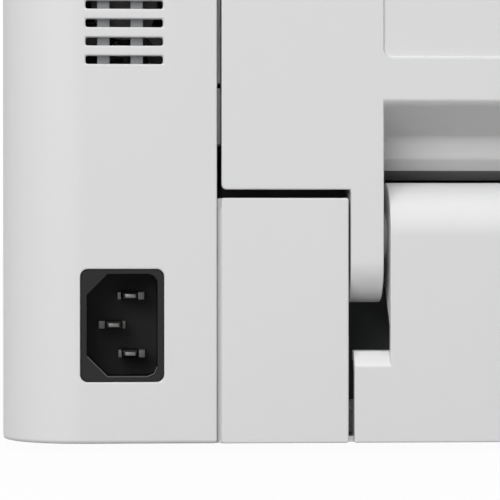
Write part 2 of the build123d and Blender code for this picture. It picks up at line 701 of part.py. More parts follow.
def drop_cover(z0, z1):
    """Front door that drops forward: its bottom edge rolls in round two pins held by the ears."""
    axis_y = FRONT + FRONT_ROLL_R
    axis_z = z0 + FRONT_ROLL_R
    roll = disc(axis_y, axis_z, FRONT_ROLL_R) - disc(axis_y, axis_z, FRONT_ROLL_R - WALL)
    roll &= rect(axis_y - FRONT_ROLL_R, axis_y, axis_z - FRONT_ROLL_R, axis_z)
    side = roll + rect(FRONT, FRONT + WALL, axis_z, z1 - 1)
    side += rect(FRONT + 1, FRONT + WALL, z1 - 2, z1)
    door = along_x(side, -OPEN_HALF, OPEN_HALF)
    cheek = disc(axis_y, axis_z, FRONT_ROLL_R)
    cheek += rect(FRONT, FRONT + 6, axis_z, z1 - 4)
    ends = along_x(cheek, OPEN_HALF - WALL, OPEN_HALF)
    ends += along_x(disc(axis_y, axis_z, EAR_PIN_R), EAR_X - 1, OPEN_HALF - WALL)
    return door + both_sides(ends)


def finger_recess(top):
    """Shallow recess in the outer face of a front door, below its top edge."""
    half = DOOR_GRIP_W / 2
    return along_y(rect(-half, half, top - DOOR_GRIP_H, top + DOOR_GRIP_H, 4), FRONT, FRONT + DOOR_GRIP_DEPTH)


def front_cover():
    """Cover over the toner cartridge, with a finger recess in its top edge and stiffening ribs."""
    cover = drop_cover(COVER_BOTTOM, FRONT_COVER_TOP)
    cover -= finger_recess(FRONT_COVER_TOP)
    rib = rect(FRONT + WALL, FRONT + 6, COVER_BOTTOM + 16, FRONT_COVER_TOP - 12)
    for i in range(COVER_RIBS):
        x = (i - (COVER_RIBS - 1) / 2) * COVER_RIB_PITCH
        cover += along_x(rib, x - RIB_T / 2, x + RIB_T / 2)
    return cover


def mp_tray():
    """Multi-purpose tray: the lower front door, whose inner face carries single sheets."""
    tray = drop_cover(MP_BOTTOM, MP_TOP) - finger_recess(MP_TOP)
    for z in (MP_BOTTOM + 26, MP_BOTTOM + 40):
        groove = rect(-MOUTH_HALF_W + 5, MOUTH_HALF_W - 5, z - GROOVE_H / 2, z + GROOVE_H / 2)
        tray -= along_y(groove, FRONT + WALL - GROOVE_DEPTH, FRONT + WALL)
    return tray


def right_mp_guide():
    """Width guide of the multi-purpose tray, an angle that slides in the tray's grooves."""
    y = FRONT + WALL + SEAT
    z = MP_BOTTOM + FRONT_ROLL_R + 6
    fence = rect(y, y + MP_GUIDE_REACH, z, z + MP_GUIDE_H, 1.5)
    guide = along_x(fence, MP_GUIDE_X, MP_GUIDE_X + 2)
    return guide + along_y(rect(MP_GUIDE_X, MP_GUIDE_X + 14, z, z + MP_GUIDE_H, 2), y, y + 1.4)


def front_frame():
    """Moulded front frame: posts and rails round the two mouths, with ears for the door pins."""
    front = FRONT + BEZEL_DEPTH
    back = front + WALL
    plate = rect(-OPEN_HALF + SEAT, OPEN_HALF - SEAT, PAN_TOP, FRONT_COVER_TOP)
    plate -= rect(-MOUTH_HALF_W, MOUTH_HALF_W, 0, CASSETTE_FRONT_TOP)
    plate -= rect(-MOUTH_HALF_W, MOUTH_HALF_W, MP_BOTTOM + 14, MP_TOP - 4, 3)
    plate -= rect(-MOUTH_HALF_W, MOUTH_HALF_W, COVER_BOTTOM + 6, FRONT_COVER_TOP - 8, 3)
    frame = along_y(plate, front, back)
    for z in (MP_BOTTOM + FRONT_ROLL_R, COVER_BOTTOM + FRONT_ROLL_R):
        y = FRONT + FRONT_ROLL_R
        ear = disc(y, z, EAR_R) + rect(y, front, z + 1, z + EAR_R)
        ear -= disc(y, z, EAR_PIN_R + PIN_FIT)
        frame += both_sides(along_x(ear, EAR_X, EAR_X + EAR_T))
    return frame


def bin_floor(y):
    """Height of the output bin's floor, which falls towards the rear."""
    share = (y - FRONT) / (BIN_REAR - FRONT)
    return BIN_FRONT_Z + WALL + (BIN_LOW_Z - BIN_FRONT_Z) * share


def top_cover():
    """Top cover: the output bin with its rear wall and slot, the deck and two clipped side trims."""
    skirt = FRONT_COVER_TOP + 1.5
    low = BIN_LOW_Z + WALL
    apron = DOOR_TOP + 1.5
    side = area((FRONT, skirt), (FRONT, bin_floor(FRONT)), (BIN_REAR, low), (BIN_REAR, COVER_TOP),
                (REAR, COVER_TOP), (REAR, apron), (REAR - WALL, apron), (REAR - WALL, COVER_TOP - WALL),
                (BIN_REAR + WALL, COVER_TOP - WALL), (BIN_REAR + WALL, BIN_LOW_Z),
                (FRONT + WALL, BIN_FRONT_Z), (FRONT + WALL, skirt))
    cover = along_x(side, -OPEN_HALF, OPEN_HALF)
    slot = rect(-SHEET_W / 2 - 10, SHEET_W / 2 + 10, BIN_SLOT_Z, BIN_SLOT_TOP, 3)
    cover -= along_y(slot, BIN_REAR, BIN_REAR + WALL)
    rib = area((STOP_HINGE_Y + STOP_LEN + 12, bin_floor(STOP_HINGE_Y + STOP_LEN + 12) - 1),
               (STOP_HINGE_Y + STOP_LEN + 30, bin_floor(STOP_HINGE_Y + STOP_LEN + 30) + 2),
               (BIN_REAR + 1, low + 6), (BIN_REAR + 1, low - 1))
    for x in (-84, -28, 28, 84):
        cover += along_x(rib, x - 1, x + 1)
    front = FRONT + TRIM_INSET
    rear = BIN_REAR - SEAT
    trim = area((front, bin_floor(front) + SEAT), (front + TRIM_RAKE, COVER_TOP), (rear, COVER_TOP),
                (rear, bin_floor(rear) + SEAT))
    return cover + both_sides(along_x(trim, OPEN_HALF - WALL, OPEN_HALF))


def bin_stop():
    """Flap that folds up to stop the sheets, lying on the bin's floor when it is folded away."""
    y0 = STOP_HINGE_Y
    y1 = y0 + STOP_LEN
    lift = 2 * SEAT
    barrel = STOP_T
    side = area((y0, bin_floor(y0) + lift), (y0, bin_floor(y0) + lift + STOP_T),
                (y1, bin_floor(y1) + lift + STOP_T), (y1, bin_floor(y1) + lift))
    side += disc(y0, bin_floor(y0) + SEAT + barrel, barrel)
    flap = along_x(side, -STOP_W / 2, STOP_W / 2)
    return flap - along_z(rect(-STOP_W / 2 + 12, STOP_W / 2 - 12, y0 + 12, y1 - 8, 4), 0, COVER_TOP)


def frame_plate():
    """Pressed steel side frame with turned-in runners, bores for the shafts and windows."""
    plate = rect(FRAME_FRONT, FRAME_REAR, PAN_TOP, FRAME_TOP)
    plate -= rect(FRAME_FRONT, BIN_REAR + WALL + SEAT, BIN_LOW_Z - SEAT, FRAME_TOP)
    plate -= rect(TONER_FRONT - 34, DRUM_Y - 30, DRUM_Z - 34, DRUM_Z + 22, 8)
    for y, z in ((DRUM_Y, DRUM_Z), (DRUM_Y, TRANSFER_Z), (FUSER_Y, HEAT_Z), (FUSER_Y, PRESSURE_Z),
                 (PICKUP_Y, PICKUP_Z), (EXIT_Y, EXIT_Z)):
        plate += disc(y, z, SHAFT_R + BEARING_RIM)
        plate -= disc(y, z, SHAFT_R + BEARING_FIT)
    frame = along_x(plate, FRAME_X, FRAME_OUT)
    runner = rect(FRAME_OUT - FRAME_FLANGE, FRAME_OUT, FRAME_FRONT, FRAME_REAR)
    frame += along_z(runner, PAN_TOP, PAN_TOP + FRAME_T)
    top = rect(FRAME_OUT - FRAME_FLANGE, FRAME_OUT, BIN_REAR + 8, FRAME_REAR)
    return frame + along_z(top, FRAME_TOP - FRAME_T, FRAME_TOP)


def mesh_distance(teeth_a, teeth_b):
    return GEAR_MODULE * (teeth_a + teeth_b) / 2 + GEAR_FREE


def point_between(a, b, from_a, from_b):
    """Point below the line from a to b, at the given distance from each."""
    span = hypot(b[0] - a[0], b[1] - a[1])
    line = atan2(b[1] - a[1], b[0] - a[0])
    turn = acos((from_a ** 2 + span ** 2 - from_b ** 2) / (2 * from_a * span))
    return a[0] + from_a * cos(line - turn), a[1] + from_a * sin(line - turn)


def mesh_angle(angle_a, teeth_a, a, teeth_b, b):
    """Angle of a tooth of gear b that lets its gaps face the teeth of gear a."""
    line = atan2(b[1] - a[1], b[0] - a[0])
    offset = (angle_a - line) % (2 * pi / teeth_a)
    return line + pi - offset * teeth_a / teeth_b + pi / teeth_b


DRUM = (DRUM_Y, DRUM_Z)
TRANSFER = (DRUM_Y, TRANSFER_Z)
HEAT = (FUSER_Y, HEAT_Z)
PRESSURE = (FUSER_Y, PRESSURE_Z)
PICKUP = (PICKUP_Y, PICKUP_Z)
EXIT = (EXIT_Y, EXIT_Z)
MAIN_TO_DRUM = mesh_distance(MAIN_TEETH, DRUM_TEETH)
MAIN_TO_FUSER = mesh_distance(MAIN_TEETH, FUSER_TEETH)
MAIN = point_between(DRUM, HEAT, MAIN_TO_DRUM, MAIN_TO_FUSER)
PINION_REACH = mesh_distance(MAIN_TEETH, PINION_TEETH)
MOTOR_TURN = radians(MOTOR_ANGLE)
PINION = (MAIN[0] + PINION_REACH * cos(MOTOR_TURN), MAIN[1] + PINION_REACH * sin(MOTOR_TURN))


def gear(teeth, centre, angle, bore):
    """Spur gear outside the left frame, with straight flanks and one tooth at the given angle."""
    y, z = centre
    pitch_r = GEAR_MODULE * teeth / 2
    root = pitch_r - 1.25 * GEAR_MODULE
    tip = pitch_r + GEAR_MODULE
    outline = []
    for i in range(teeth):
        for r, share in ((root, -0.35), (tip, -0.1), (tip, 0.1), (root, 0.35)):
            a = angle + 2 * pi * (i + share) / teeth
            outline.append((y + r * cos(a), z + r * sin(a)))
    return along_x(area(*outline) - disc(y, z, bore), -GEAR_X - GEAR_W, -GEAR_X)


def main_gear():
    """Large drive gear on a stud, lightened by five holes between its hub and rim."""
    wheel = gear(MAIN_TEETH, MAIN, 0, SHAFT_R + BEARING_FIT)
    reach = GEAR_MODULE * MAIN_TEETH / 4 + 2
    for i in range(5):
        a = 2 * pi * i / 5
        hole = disc(MAIN[0] + reach * cos(a), MAIN[1] + reach * sin(a), 7)
        wheel -= along_x(hole, -GEAR_X - GEAR_W, -GEAR_X)
    return wheel


def drum_gear():
    """Gear on the end of the photo drum's shaft."""
    return gear(DRUM_TEETH, DRUM, mesh_angle(0, MAIN_TEETH, MAIN, DRUM_TEETH, DRUM), SHAFT_R)


def fuser_gear():
    """Gear on the end of the heat roller's shaft."""
    return gear(FUSER_TEETH, HEAT, mesh_angle(0, MAIN_TEETH, MAIN, FUSER_TEETH, HEAT), SHAFT_R)


def motor_pinion():
    """Pinion with the motor's shaft, which passes through the drive bracket."""
    angle = mesh_angle(0, MAIN_TEETH, MAIN, PINION_TEETH, PINION)
    pinion = gear(PINION_TEETH, PINION, angle, MOTOR_SHAFT_R - 0.5)
    return pinion + along_x(disc(*PINION, MOTOR_SHAFT_R), -BRACKET_X - FRAME_T - 4, -GEAR_X - 1)


def drive_motor():
    """Drive motor: a flat round can on the outside of the drive bracket."""
    face = BRACKET_X + FRAME_T
    can = Plane.YZ * disc(*PINION, MOTOR_R)
    motor = Pos(-face - MOTOR_LEN, 0, 0) * extrude(can, MOTOR_LEN)
    motor = chamfer(motor.faces().sort_by(Axis.X)[0].edges(), MOTOR_BEVEL)
    motor -= along_x(disc(*PINION, MOTOR_SHAFT_R + BEARING_FIT), -face - 5, -face)
    plug = rect(PINION[0] - 8, PINION[0] + 8, PINION[1] - MOTOR_R - 4, PINION[1] - MOTOR_R + 3)
    return motor + along_x(plug, -face - MOTOR_LEN + 6, -face - MOTOR_LEN + 14)


def drive_bracket():
    """Steel bracket over the gears, on two turned-in flanges, that carries the motor."""
    front = DRUM_Y - GEAR_MODULE * DRUM_TEETH / 2 - 6
    rear = FUSER_Y + GEAR_MODULE * FUSER_TEETH / 2 + 5
    low = PINION[1] - MOTOR_R - 2
    high = DRUM_Z + 24
    plate = rect(front, rear, low, high, 4) - disc(*PINION, 2 * MOTOR_SHAFT_R)
    plate -= disc(*MAIN, SHAFT_R + BEARING_FIT)
    plate -= disc(DRUM_Y, DRUM_Z, 12)
    plate -= disc(FUSER_Y, HEAT_Z, 12)
    bracket = along_x(plate, -BRACKET_X - FRAME_T, -BRACKET_X)
    for y in (front, rear - FRAME_T):
        bracket += along_x(rect(y, y + FRAME_T, low + 12, high - 6), -BRACKET_X, -FRAME_OUT)
    return bracket


def right_frame():
    """Side frame on the power supply's side."""
    return frame_plate()


def left_frame():
    """Side frame with the stud that the large drive gear turns on."""
    stud = along_x(disc(*MAIN, SHAFT_R), -BRACKET_X - FRAME_T - 1, -FRAME_X)
    return other_side(frame_plate()) + stud


def roller(centre, r, half, left_end=0.0):
    """Roller on a through shaft that runs in the bores of both side frames."""
    body = along_x(disc(*centre, r), -half, half)
    return body + along_x(disc(*centre, SHAFT_R), -max(SHAFT_END, left_end), SHAFT_END)


def photo_drum():
    """Coated drum that the image is drawn on, with its shaft."""
    return roller(DRUM, DRUM_R, ROLLER_HALF, GEAR_X + GEAR_W)


def transfer_roller():
    """Foam roller below the drum."""
    return roller(TRANSFER, TRANSFER_R, ROLLER_HALF)


def heat_roller():
    """Upper fuser roller, which is heated and driven."""
    return roller(HEAT, HEAT_R, ROLLER_HALF, GEAR_X + GEAR_W)


def pressure_roller():
    """Lower fuser roller with a soft sleeve."""
    return roller(PRESSURE, PRESSURE_R, ROLLER_HALF)


def exit_roller():
    """Exit shaft with four soft tyres behind the slot of the output bin."""
    shaft = along_x(disc(*EXIT, SHAFT_R), -SHAFT_END, SHAFT_END)
    for i in range(EXIT_TYRES):
        x = (i - (EXIT_TYRES - 1) / 2) * EXIT_PITCH
        shaft += along_x(disc(*EXIT, EXIT_R), x - EXIT_TYRE_W / 2, x + EXIT_TYRE_W / 2)
    return shaft


def pickup_roller():
    """Feed roller over the front of the stack, with the flat that lets the sheets rest."""
    tyre = disc(*PICKUP, PICKUP_R)
    tyre -= rect(PICKUP_Y - PICKUP_R, PICKUP_Y + PICKUP_R, PICKUP_Z - PICKUP_R, PICKUP_Z - PICKUP_R + 5)
    return roller(PICKUP, SHAFT_R + 1, ROLLER_HALF) + along_x(tyre, -PICKUP_HALF, PICKUP_HALF)


def toner_cartridge():
    """Toner cartridge: a hopper with a front handle and end plates that carry the drum."""
    low = DRUM_Z - 18
    side = area((TONER_FRONT, low + 12), (TONER_FRONT, TONER_TOP - 8), (TONER_FRONT + 8, TONER_TOP),
                (DRUM_Y - 28, TONER_TOP), (DRUM_Y - 15, DRUM_Z + 18), (DRUM_Y - 14, low + 6),
                (DRUM_Y - 28, low), (TONER_FRONT + 24, low))
    side -= disc(*DRUM, DRUM_R + 2 * SEAT)
    body = along_x(side, -ROLLER_HALF, ROLLER_HALF)
    plate = rect(TONER_FRONT + 20, DRUM_Y + 9, DRUM_Z - 11, DRUM_Z + 16, 6)
    plate -= disc(*DRUM, SHAFT_R + BEARING_FIT)
    body += both_sides(along_x(plate, ROLLER_HALF + SEAT, ROLLER_HALF + 4))
    joint = rect(TONER_FRONT + 22, DRUM_Y - 30, DRUM_Z - 4, DRUM_Z + 14)
    body += both_sides(along_x(joint, ROLLER_HALF, ROLLER_HALF + SEAT))
    handle = rect(TONER_FRONT - 12, TONER_FRONT + 1, DRUM_Z + 4, DRUM_Z + 18, 4)
    handle -= rect(TONER_FRONT - 9, TONER_FRONT, DRUM_Z + 7, DRUM_Z + 15, 2)
    return body + along_x(handle, -36, 36)


def fuser_housing():
    """Fuser housing: upper and lower shells round the two rollers, joined by end plates."""
    front = FUSER_Y - FUSER_FRONT
    back = FUSER_Y + FUSER_BACK
    low = PRESSURE_Z - FUSER_UNDER
    top = HEAT_Z + FUSER_OVER
    wall = FUSER_T
    outer = rect(front, back, low, top, 4)
    inner = rect(front + wall, back - wall, low + wall, top - wall, 3)
    slot = rect(front, back, FUSER_NIP_Z - 4, FUSER_NIP_Z + 5)
    housing = along_x(outer - inner - slot, -ROLLER_HALF - 1, ROLLER_HALF + 1)
    end = outer - disc(*HEAT, SHAFT_R + BEARING_FIT) - disc(*PRESSURE, SHAFT_R + BEARING_FIT)
    housing += both_sides(along_x(end, ROLLER_HALF + 1, ROLLER_HALF + 1 + wall))
    for i in range(FUSER_VENTS):
        x = (i - (FUSER_VENTS - 1) / 2) * FUSER_VENT_PITCH
        housing -= along_z(rect(x - 10, x + 10, FUSER_Y - 8, FUSER_Y + 8), top - wall, top)
    return housing


def laser_unit():
    """Laser scanner tray: an open box with the exit slot over the drum and ears on the frames."""
    plan = rect(-ROLLER_HALF, ROLLER_HALF, LASER_FRONT, LASER_REAR, 6)
    tray = along_z(plan, LASER_BOTTOM, LASER_BOTTOM + LASER_H)
    hollow = rect(-ROLLER_HALF + WALL, ROLLER_HALF - WALL, LASER_FRONT + WALL, LASER_REAR - WALL, 4)
    tray -= along_z(hollow, LASER_BOTTOM + WALL, LASER_BOTTOM + LASER_H)
    half = BEAM_SLOT_W / 2
    slot = rect(BEAM_SLOT_W - ROLLER_HALF, ROLLER_HALF - BEAM_SLOT_W, DRUM_Y - half, DRUM_Y + half)
    tray -= along_z(slot, LASER_BOTTOM, LASER_BOTTOM + WALL)
    stand = disc(0, LASER_REAR - POLYGON_INSET, 12)
    tray += along_z(stand, LASER_BOTTOM + WALL, LASER_BOTTOM + POLYGON_SEAT)
    floor = LASER_BOTTOM + WALL
    mirror_bar = area((DRUM_Y + 6, floor), (DRUM_Y + 12, floor), (DRUM_Y + 2, floor + 13.5),
                      (DRUM_Y - 1, floor + 11.5))
    tray += along_x(mirror_bar, 12 - ROLLER_HALF, ROLLER_HALF - 12)
    for y in (LASER_FRONT + 14, LASER_REAR - 34):
        ear = rect(ROLLER_HALF - 1, FRAME_X - SEAT, y, y + LASER_EAR_D)
        tray += both_sides(along_z(ear, LASER_BOTTOM + 4, LASER_BOTTOM + 4 + LASER_EAR_T))
    return tray


def polygon_mirror():
    """Six-sided mirror on the hub of its motor."""
    z = LASER_BOTTOM + POLYGON_SEAT + SEAT
    centre = Pos(0, LASER_REAR - POLYGON_INSET)
    mirrors = along_z(centre * RegularPolygon(POLYGON_R, POLYGON_SIDES), z + 3, z + 8)
    return mirrors + along_z(centre * Circle(9), z, z + 3)


def power_supply_board():
    """Power supply board on standoffs, with a transformer, capacitors and a finned heat sink."""
    rear = REAR - PSU_INSET
    front = rear - PSU_D
    top = PSU_X + BOARD_T
    board = along_x(rect(front, rear, PSU_Z, PSU_Z + PSU_H), PSU_X, top)
    coil = rect(front + 30, front + 30 + COIL_D, PSU_Z + 16, PSU_Z + 16 + COIL_H)
    board += along_x(coil, top, top + COIL_T)
    for y, z, r, h in ((82, 24, 9, 24), (104, 24, 9, 24), (82, 56, 6, 16), (120, 70, 5, 12)):
        board += along_x(disc(front + y, PSU_Z + z, r), top, top + h)
    sink = PSU_Z + 58
    board += along_x(rect(front + 10, front + 10 + SINK_L, sink, sink + 4), top, top + SINK_T)
    for i in range(SINK_FINS):
        y = front + 12 + SINK_PITCH * i
        board += along_x(rect(y, y + 2, sink + 4, sink + 14), top, top + SINK_T)
    for y in (front + 8, FRAME_REAR - 4):
        for z in (PSU_Z + 6, PSU_Z + PSU_H - 6):
            board += along_x(disc(y, z, STANDOFF_R), FRAME_OUT, PSU_X)
    return board


def power_inlet():
    """Mains inlet with three contacts: a moulded socket whose cavity has two cut corners."""
    x = SIDE - INLET_FROM_EDGE
    body = rect(x - INLET_W / 2, x + INLET_W / 2, INLET_Z - INLET_H / 2, INLET_Z + INLET_H / 2, INLET_R)
    inlet = along_y(body, REAR - INLET_D, REAR - 0.2)
    w = CAVITY_W / 2
    h = CAVITY_H / 2
    cavity = Pos(x, INLET_Z) * area((-w, -h), (w - CAVITY_CUT, -h), (w, CAVITY_CUT - h),
                                    (w, h - CAVITY_CUT), (w - CAVITY_CUT, h), (-w, h))
    cavity = fillet([v for v in cavity.vertices() if v.X < x - w + 0.1], CAVITY_R)
    inlet -= along_y(cavity, REAR - CAVITY_D, REAR)
    w = INLET_W / 2 + 1.5
    h = INLET_H / 2 + 1.5
    flange = along_y(rect(x - w, x + w, INLET_Z - h, INLET_Z + h, 2), REAR - WALL - 2, REAR - WALL - SEAT)
    flange -= along_y(cavity, REAR - CAVITY_D, REAR)
    return inlet + flange


def inlet_pins():
    """Three flat contacts of the inlet, the earth one set towards the side and longer."""
    x = SIDE - INLET_FROM_EDGE
    back = REAR - CAVITY_D
    tip = REAR - 4
    pins = Part()
    w = BLADE_W / 2
    h = BLADE_T / 2
    for u, v, end in ((x - BLADE_OFFSET, INLET_Z + BLADE_SPACING / 2, tip - BLADE_SHORT),
                      (x - BLADE_OFFSET, INLET_Z - BLADE_SPACING / 2, tip - BLADE_SHORT),
                      (x + BLADE_OFFSET, INLET_Z, tip)):
        solid = along_y(rect(u - w, u + w, v - h, v + h), back, end)
        pins += chamfer(solid.faces().sort_by(Axis.Y)[-1].edges(), 0.6)
    return pins


def mainboard():
    """Main board behind the left cover, with the metal shells of its ports and its main chips."""
    face = -MAINBOARD_X + BOARD_T
    front = MID_Y + GRIP_W / 2 + 8
    outline = rect(front, REAR - WALL - 2, MAINBOARD_Z, MAINBOARD_Z + MAINBOARD_H)
    board = along_x(outline, -MAINBOARD_X, face)
    shells = port_outlines() - offset(port_outlines(), -1)
    board += along_y(shells, REAR - 16, REAR - 0.4)
    x = -SIDE + PORT_FROM_EDGE
    for z, w, h in PORTS:
        board += along_y(rect(face - 0.5, x + w / 2, z - h / 2, z + h / 2), REAR - 18, REAR - 16)
        board += along_y(rect(face - 0.5, x, z - h / 2, z - h / 2 + 1), REAR - 17, REAR - 5)
    for y, z, size in ((34, 90, 24), (74, 100, 16), (44, 40, 14)):
        chip = rect(front + y, front + y + size, MAINBOARD_Z + z, MAINBOARD_Z + z + size)
        board += along_x(chip, face, face + 2.5)
    return board


def fan_place():
    """Axis of the fan, behind the middle of the louvre, and its rear face inside the round corner."""
    x = SIDE - VENT_FROM_EDGE
    reach = max(x + FAN_SIZE / 2 - (SIDE - CORNER_R), 0)
    rear = REAR - CORNER_R + sqrt((CORNER_R - WALL) ** 2 - reach ** 2) - SEAT
    return x, VENT_Z + VENT_PITCH * (VENT_COUNT - 1) / 2, rear


def fan_housing():
    """Square housing of the cooling fan, with four struts to its motor behind the louvre."""
    x, z, rear = fan_place()
    half = FAN_SIZE / 2
    frame = rect(x - half, x + half, z - half, z + half, 3) - disc(x, z, FAN_BORE_R)
    housing = along_y(frame, rear - FAN_D, rear)
    struts = disc(x, z, FAN_HUB_R)
    for i in range(4):
        struts += Pos(x, z) * Rot(0, 0, 45 + 90 * i) * rect(FAN_HUB_R - 1, FAN_BORE_R + 1, -1.6, 1.6)
    return housing + along_y(struts, rear - 2, rear)


def fan_rotor():
    """Fan rotor: a round hub with seven pitched blades."""
    x, z, rear = fan_place()
    front = rear - FAN_D
    back = front + FAN_D - 2 - SEAT
    rotor = along_y(disc(x, z, FAN_HUB_R - 0.5), front + 0.5, back)
    blade = Box(FAN_R - FAN_HUB_R + 1.5, 8.5, 1.2)
    for i in range(FAN_BLADES):
        at = Pos((FAN_R + FAN_HUB_R - 1.5) / 2, 0, 0) * Rot(38, 0, 0)
        spin = Pos(x, (front + back) / 2, z) * Rot(0, 360 / FAN_BLADES * i, 0)
        rotor += spin * at * blade
    return rotor


PANEL_AXIS_Y = FRONT - SEAT - PANEL_ROUND
PANEL_AXIS_Z = SCANNER_TOP - PANEL_ROUND
RAIL_TOP = SCANNER_BOTTOM + WALL + RAIL_H
CARRIAGE_X = (STRIP_X0 + STRIP_X1) / 2
ADF_HINGE_X = ADF_X0 + ADF_HINGE_R
TRAY_AXIS_X = ADF_X1 + 6.0
ADF_ROLLER_X = ADF_X0 + 88.0
ADF_ROLLER_Z = ADF_SPLIT - 7.0
TRAY_AXIS_Z = TRAY_Z + TRAY_T / 2


def scanner_base():
    """Scanner tub with two rails for the carriage and the cheeks that hold the panel's pins."""
    tub = along_z(casing_plan(), SCANNER_BOTTOM, GLASS_TOP)
    tub = chamfer(tub.faces().sort_by(Axis.Z)[0].edges(), BOTTOM_BEVEL)
    tub -= along_z(casing_plan(WALL), SCANNER_BOTTOM + WALL, GLASS_TOP)
    plinth = casing_plan(WALL) - casing_plan(WALL + 6)
    plinth -= rect(-OPEN_HALF, OPEN_HALF, FRONT, BIN_REAR)
    tub += along_z(plinth, COVER_TOP, SCANNER_BOTTOM)
    for y in (MID_Y - RAIL_Y, MID_Y + RAIL_Y):
        rail = rect(-SIDE + WALL, SIDE - WALL, y - 2, y + 2)
        tub += along_z(rail, SCANNER_BOTTOM + WALL, RAIL_TOP)
    cheek = disc(PANEL_AXIS_Y, PANEL_AXIS_Z, PANEL_ROUND - SEAT)
    cheek += rect(PANEL_AXIS_Y, FRONT, PANEL_AXIS_Z - 14, PANEL_AXIS_Z)
    ends = along_x(cheek, PANEL_HALF_W + SEAT, PANEL_HALF_W + SEAT + CHEEK_T)
    pin = disc(PANEL_AXIS_Y, PANEL_AXIS_Z, PANEL_PIN_R)
    ends += along_x(pin, PANEL_HALF_W - PIN_DEPTH, PANEL_HALF_W + SEAT)
    return tub + both_sides(ends)


def glass_outlines(inset=0.0):
    """Plans of the platen glass and of the narrow glass that fed sheets pass over."""
    low = MID_Y - GLASS_HALF_D
    high = MID_Y + GLASS_HALF_D
    plate = rect(GLASS_X0 + inset, GLASS_X1 - inset, low + inset, high - inset)
    return plate + rect(STRIP_X0 + inset / 2, STRIP_X1 - inset / 2, low + inset, high - inset)


def scanner_bezel():
    """Top frame of the scanner with its two windows and the hinge ears of the lid."""
    bezel = along_z(casing_plan() - glass_outlines(GLASS_LAP), GLASS_TOP, SCANNER_TOP)
    ear = disc(LID_AXIS_Y, LID_AXIS_Z, LID_KNUCKLE_R)
    ear += rect(LID_AXIS_Y - LID_KNUCKLE_R, LID_AXIS_Y + LID_KNUCKLE_R, GLASS_TOP, LID_AXIS_Z)
    inner = LID_ARM_X - LID_ARM_W / 2 - SEAT
    outer = LID_ARM_X + LID_ARM_W / 2 + SEAT
    ears = along_x(ear, inner - 4, inner) + along_x(ear, outer, outer + 4)
    ears += along_x(disc(LID_AXIS_Y, LID_AXIS_Z, LID_PIN_R), inner, outer)
    return bezel + both_sides(ears)


def platen_glass():
    """The two scanner glasses, bonded to the underside of the top frame."""
    return along_z(glass_outlines(), GLASS_TOP - GLASS_T, GLASS_TOP)


def scan_carriage():
    """Scan carriage: a bar across the rails with its lamp slot, parked under the narrow glass."""
    z = RAIL_TOP + SEAT
    top = z + CARRIAGE_H
    half = CARRIAGE_W / 2
    side = area((CARRIAGE_X - half, z), (CARRIAGE_X - half, top - 4), (CARRIAGE_X - half + 4, top),
                (CARRIAGE_X + half - 4, top), (CARRIAGE_X + half, top - 4), (CARRIAGE_X + half, z))
    bar = along_y(side, MID_Y - GLASS_HALF_D, MID_Y + GLASS_HALF_D)
    slot = rect(CARRIAGE_X - 3, CARRIAGE_X + 3, MID_Y - GLASS_HALF_D + 6, MID_Y + GLASS_HALF_D - 6)
    return bar - along_z(slot, top - 10, top)


def pad_plan(grow=0.0):
    """Plan of the platen pad, which overlaps the glass all round."""
    low = MID_Y - GLASS_HALF_D - PAD_LAP - grow
    high = MID_Y + GLASS_HALF_D + PAD_LAP + grow
    return rect(GLASS_X0 - PAD_LAP - grow, GLASS_X1 + PAD_LAP + grow, low, high, 3)


def lid():
    """Scanner lid: a slab with a shallow recess that holds the platen pad, and two hinge arms."""
    plan = rect(-SIDE, SIDE, FRONT, LID_REAR, CORNER_R)
    slab = along_z(plan, LID_BOTTOM, LID_TOP)
    slab = chamfer(slab.faces().sort_by(Axis.Z)[-1].edges(), 1.2)
    pad_top = SCANNER_TOP + SEAT + PAD_T
    slab -= along_z(pad_plan(1.0), LID_BOTTOM, pad_top)
    arm = disc(LID_AXIS_Y, LID_AXIS_Z, LID_KNUCKLE_R)
    arm += rect(LID_REAR - 4, LID_AXIS_Y, LID_BOTTOM, LID_AXIS_Z + LID_KNUCKLE_R)
    arm -= disc(LID_AXIS_Y, LID_AXIS_Z, LID_PIN_R + PIN_FIT)
    half = LID_ARM_W / 2
    return slab + both_sides(along_x(arm, LID_ARM_X - half, LID_ARM_X + half))


def platen_pad():
    """White foam-backed sheet under the lid that presses the page to the glass."""
    z = SCANNER_TOP + SEAT
    return along_z(pad_plan(), z, z + PAD_T)


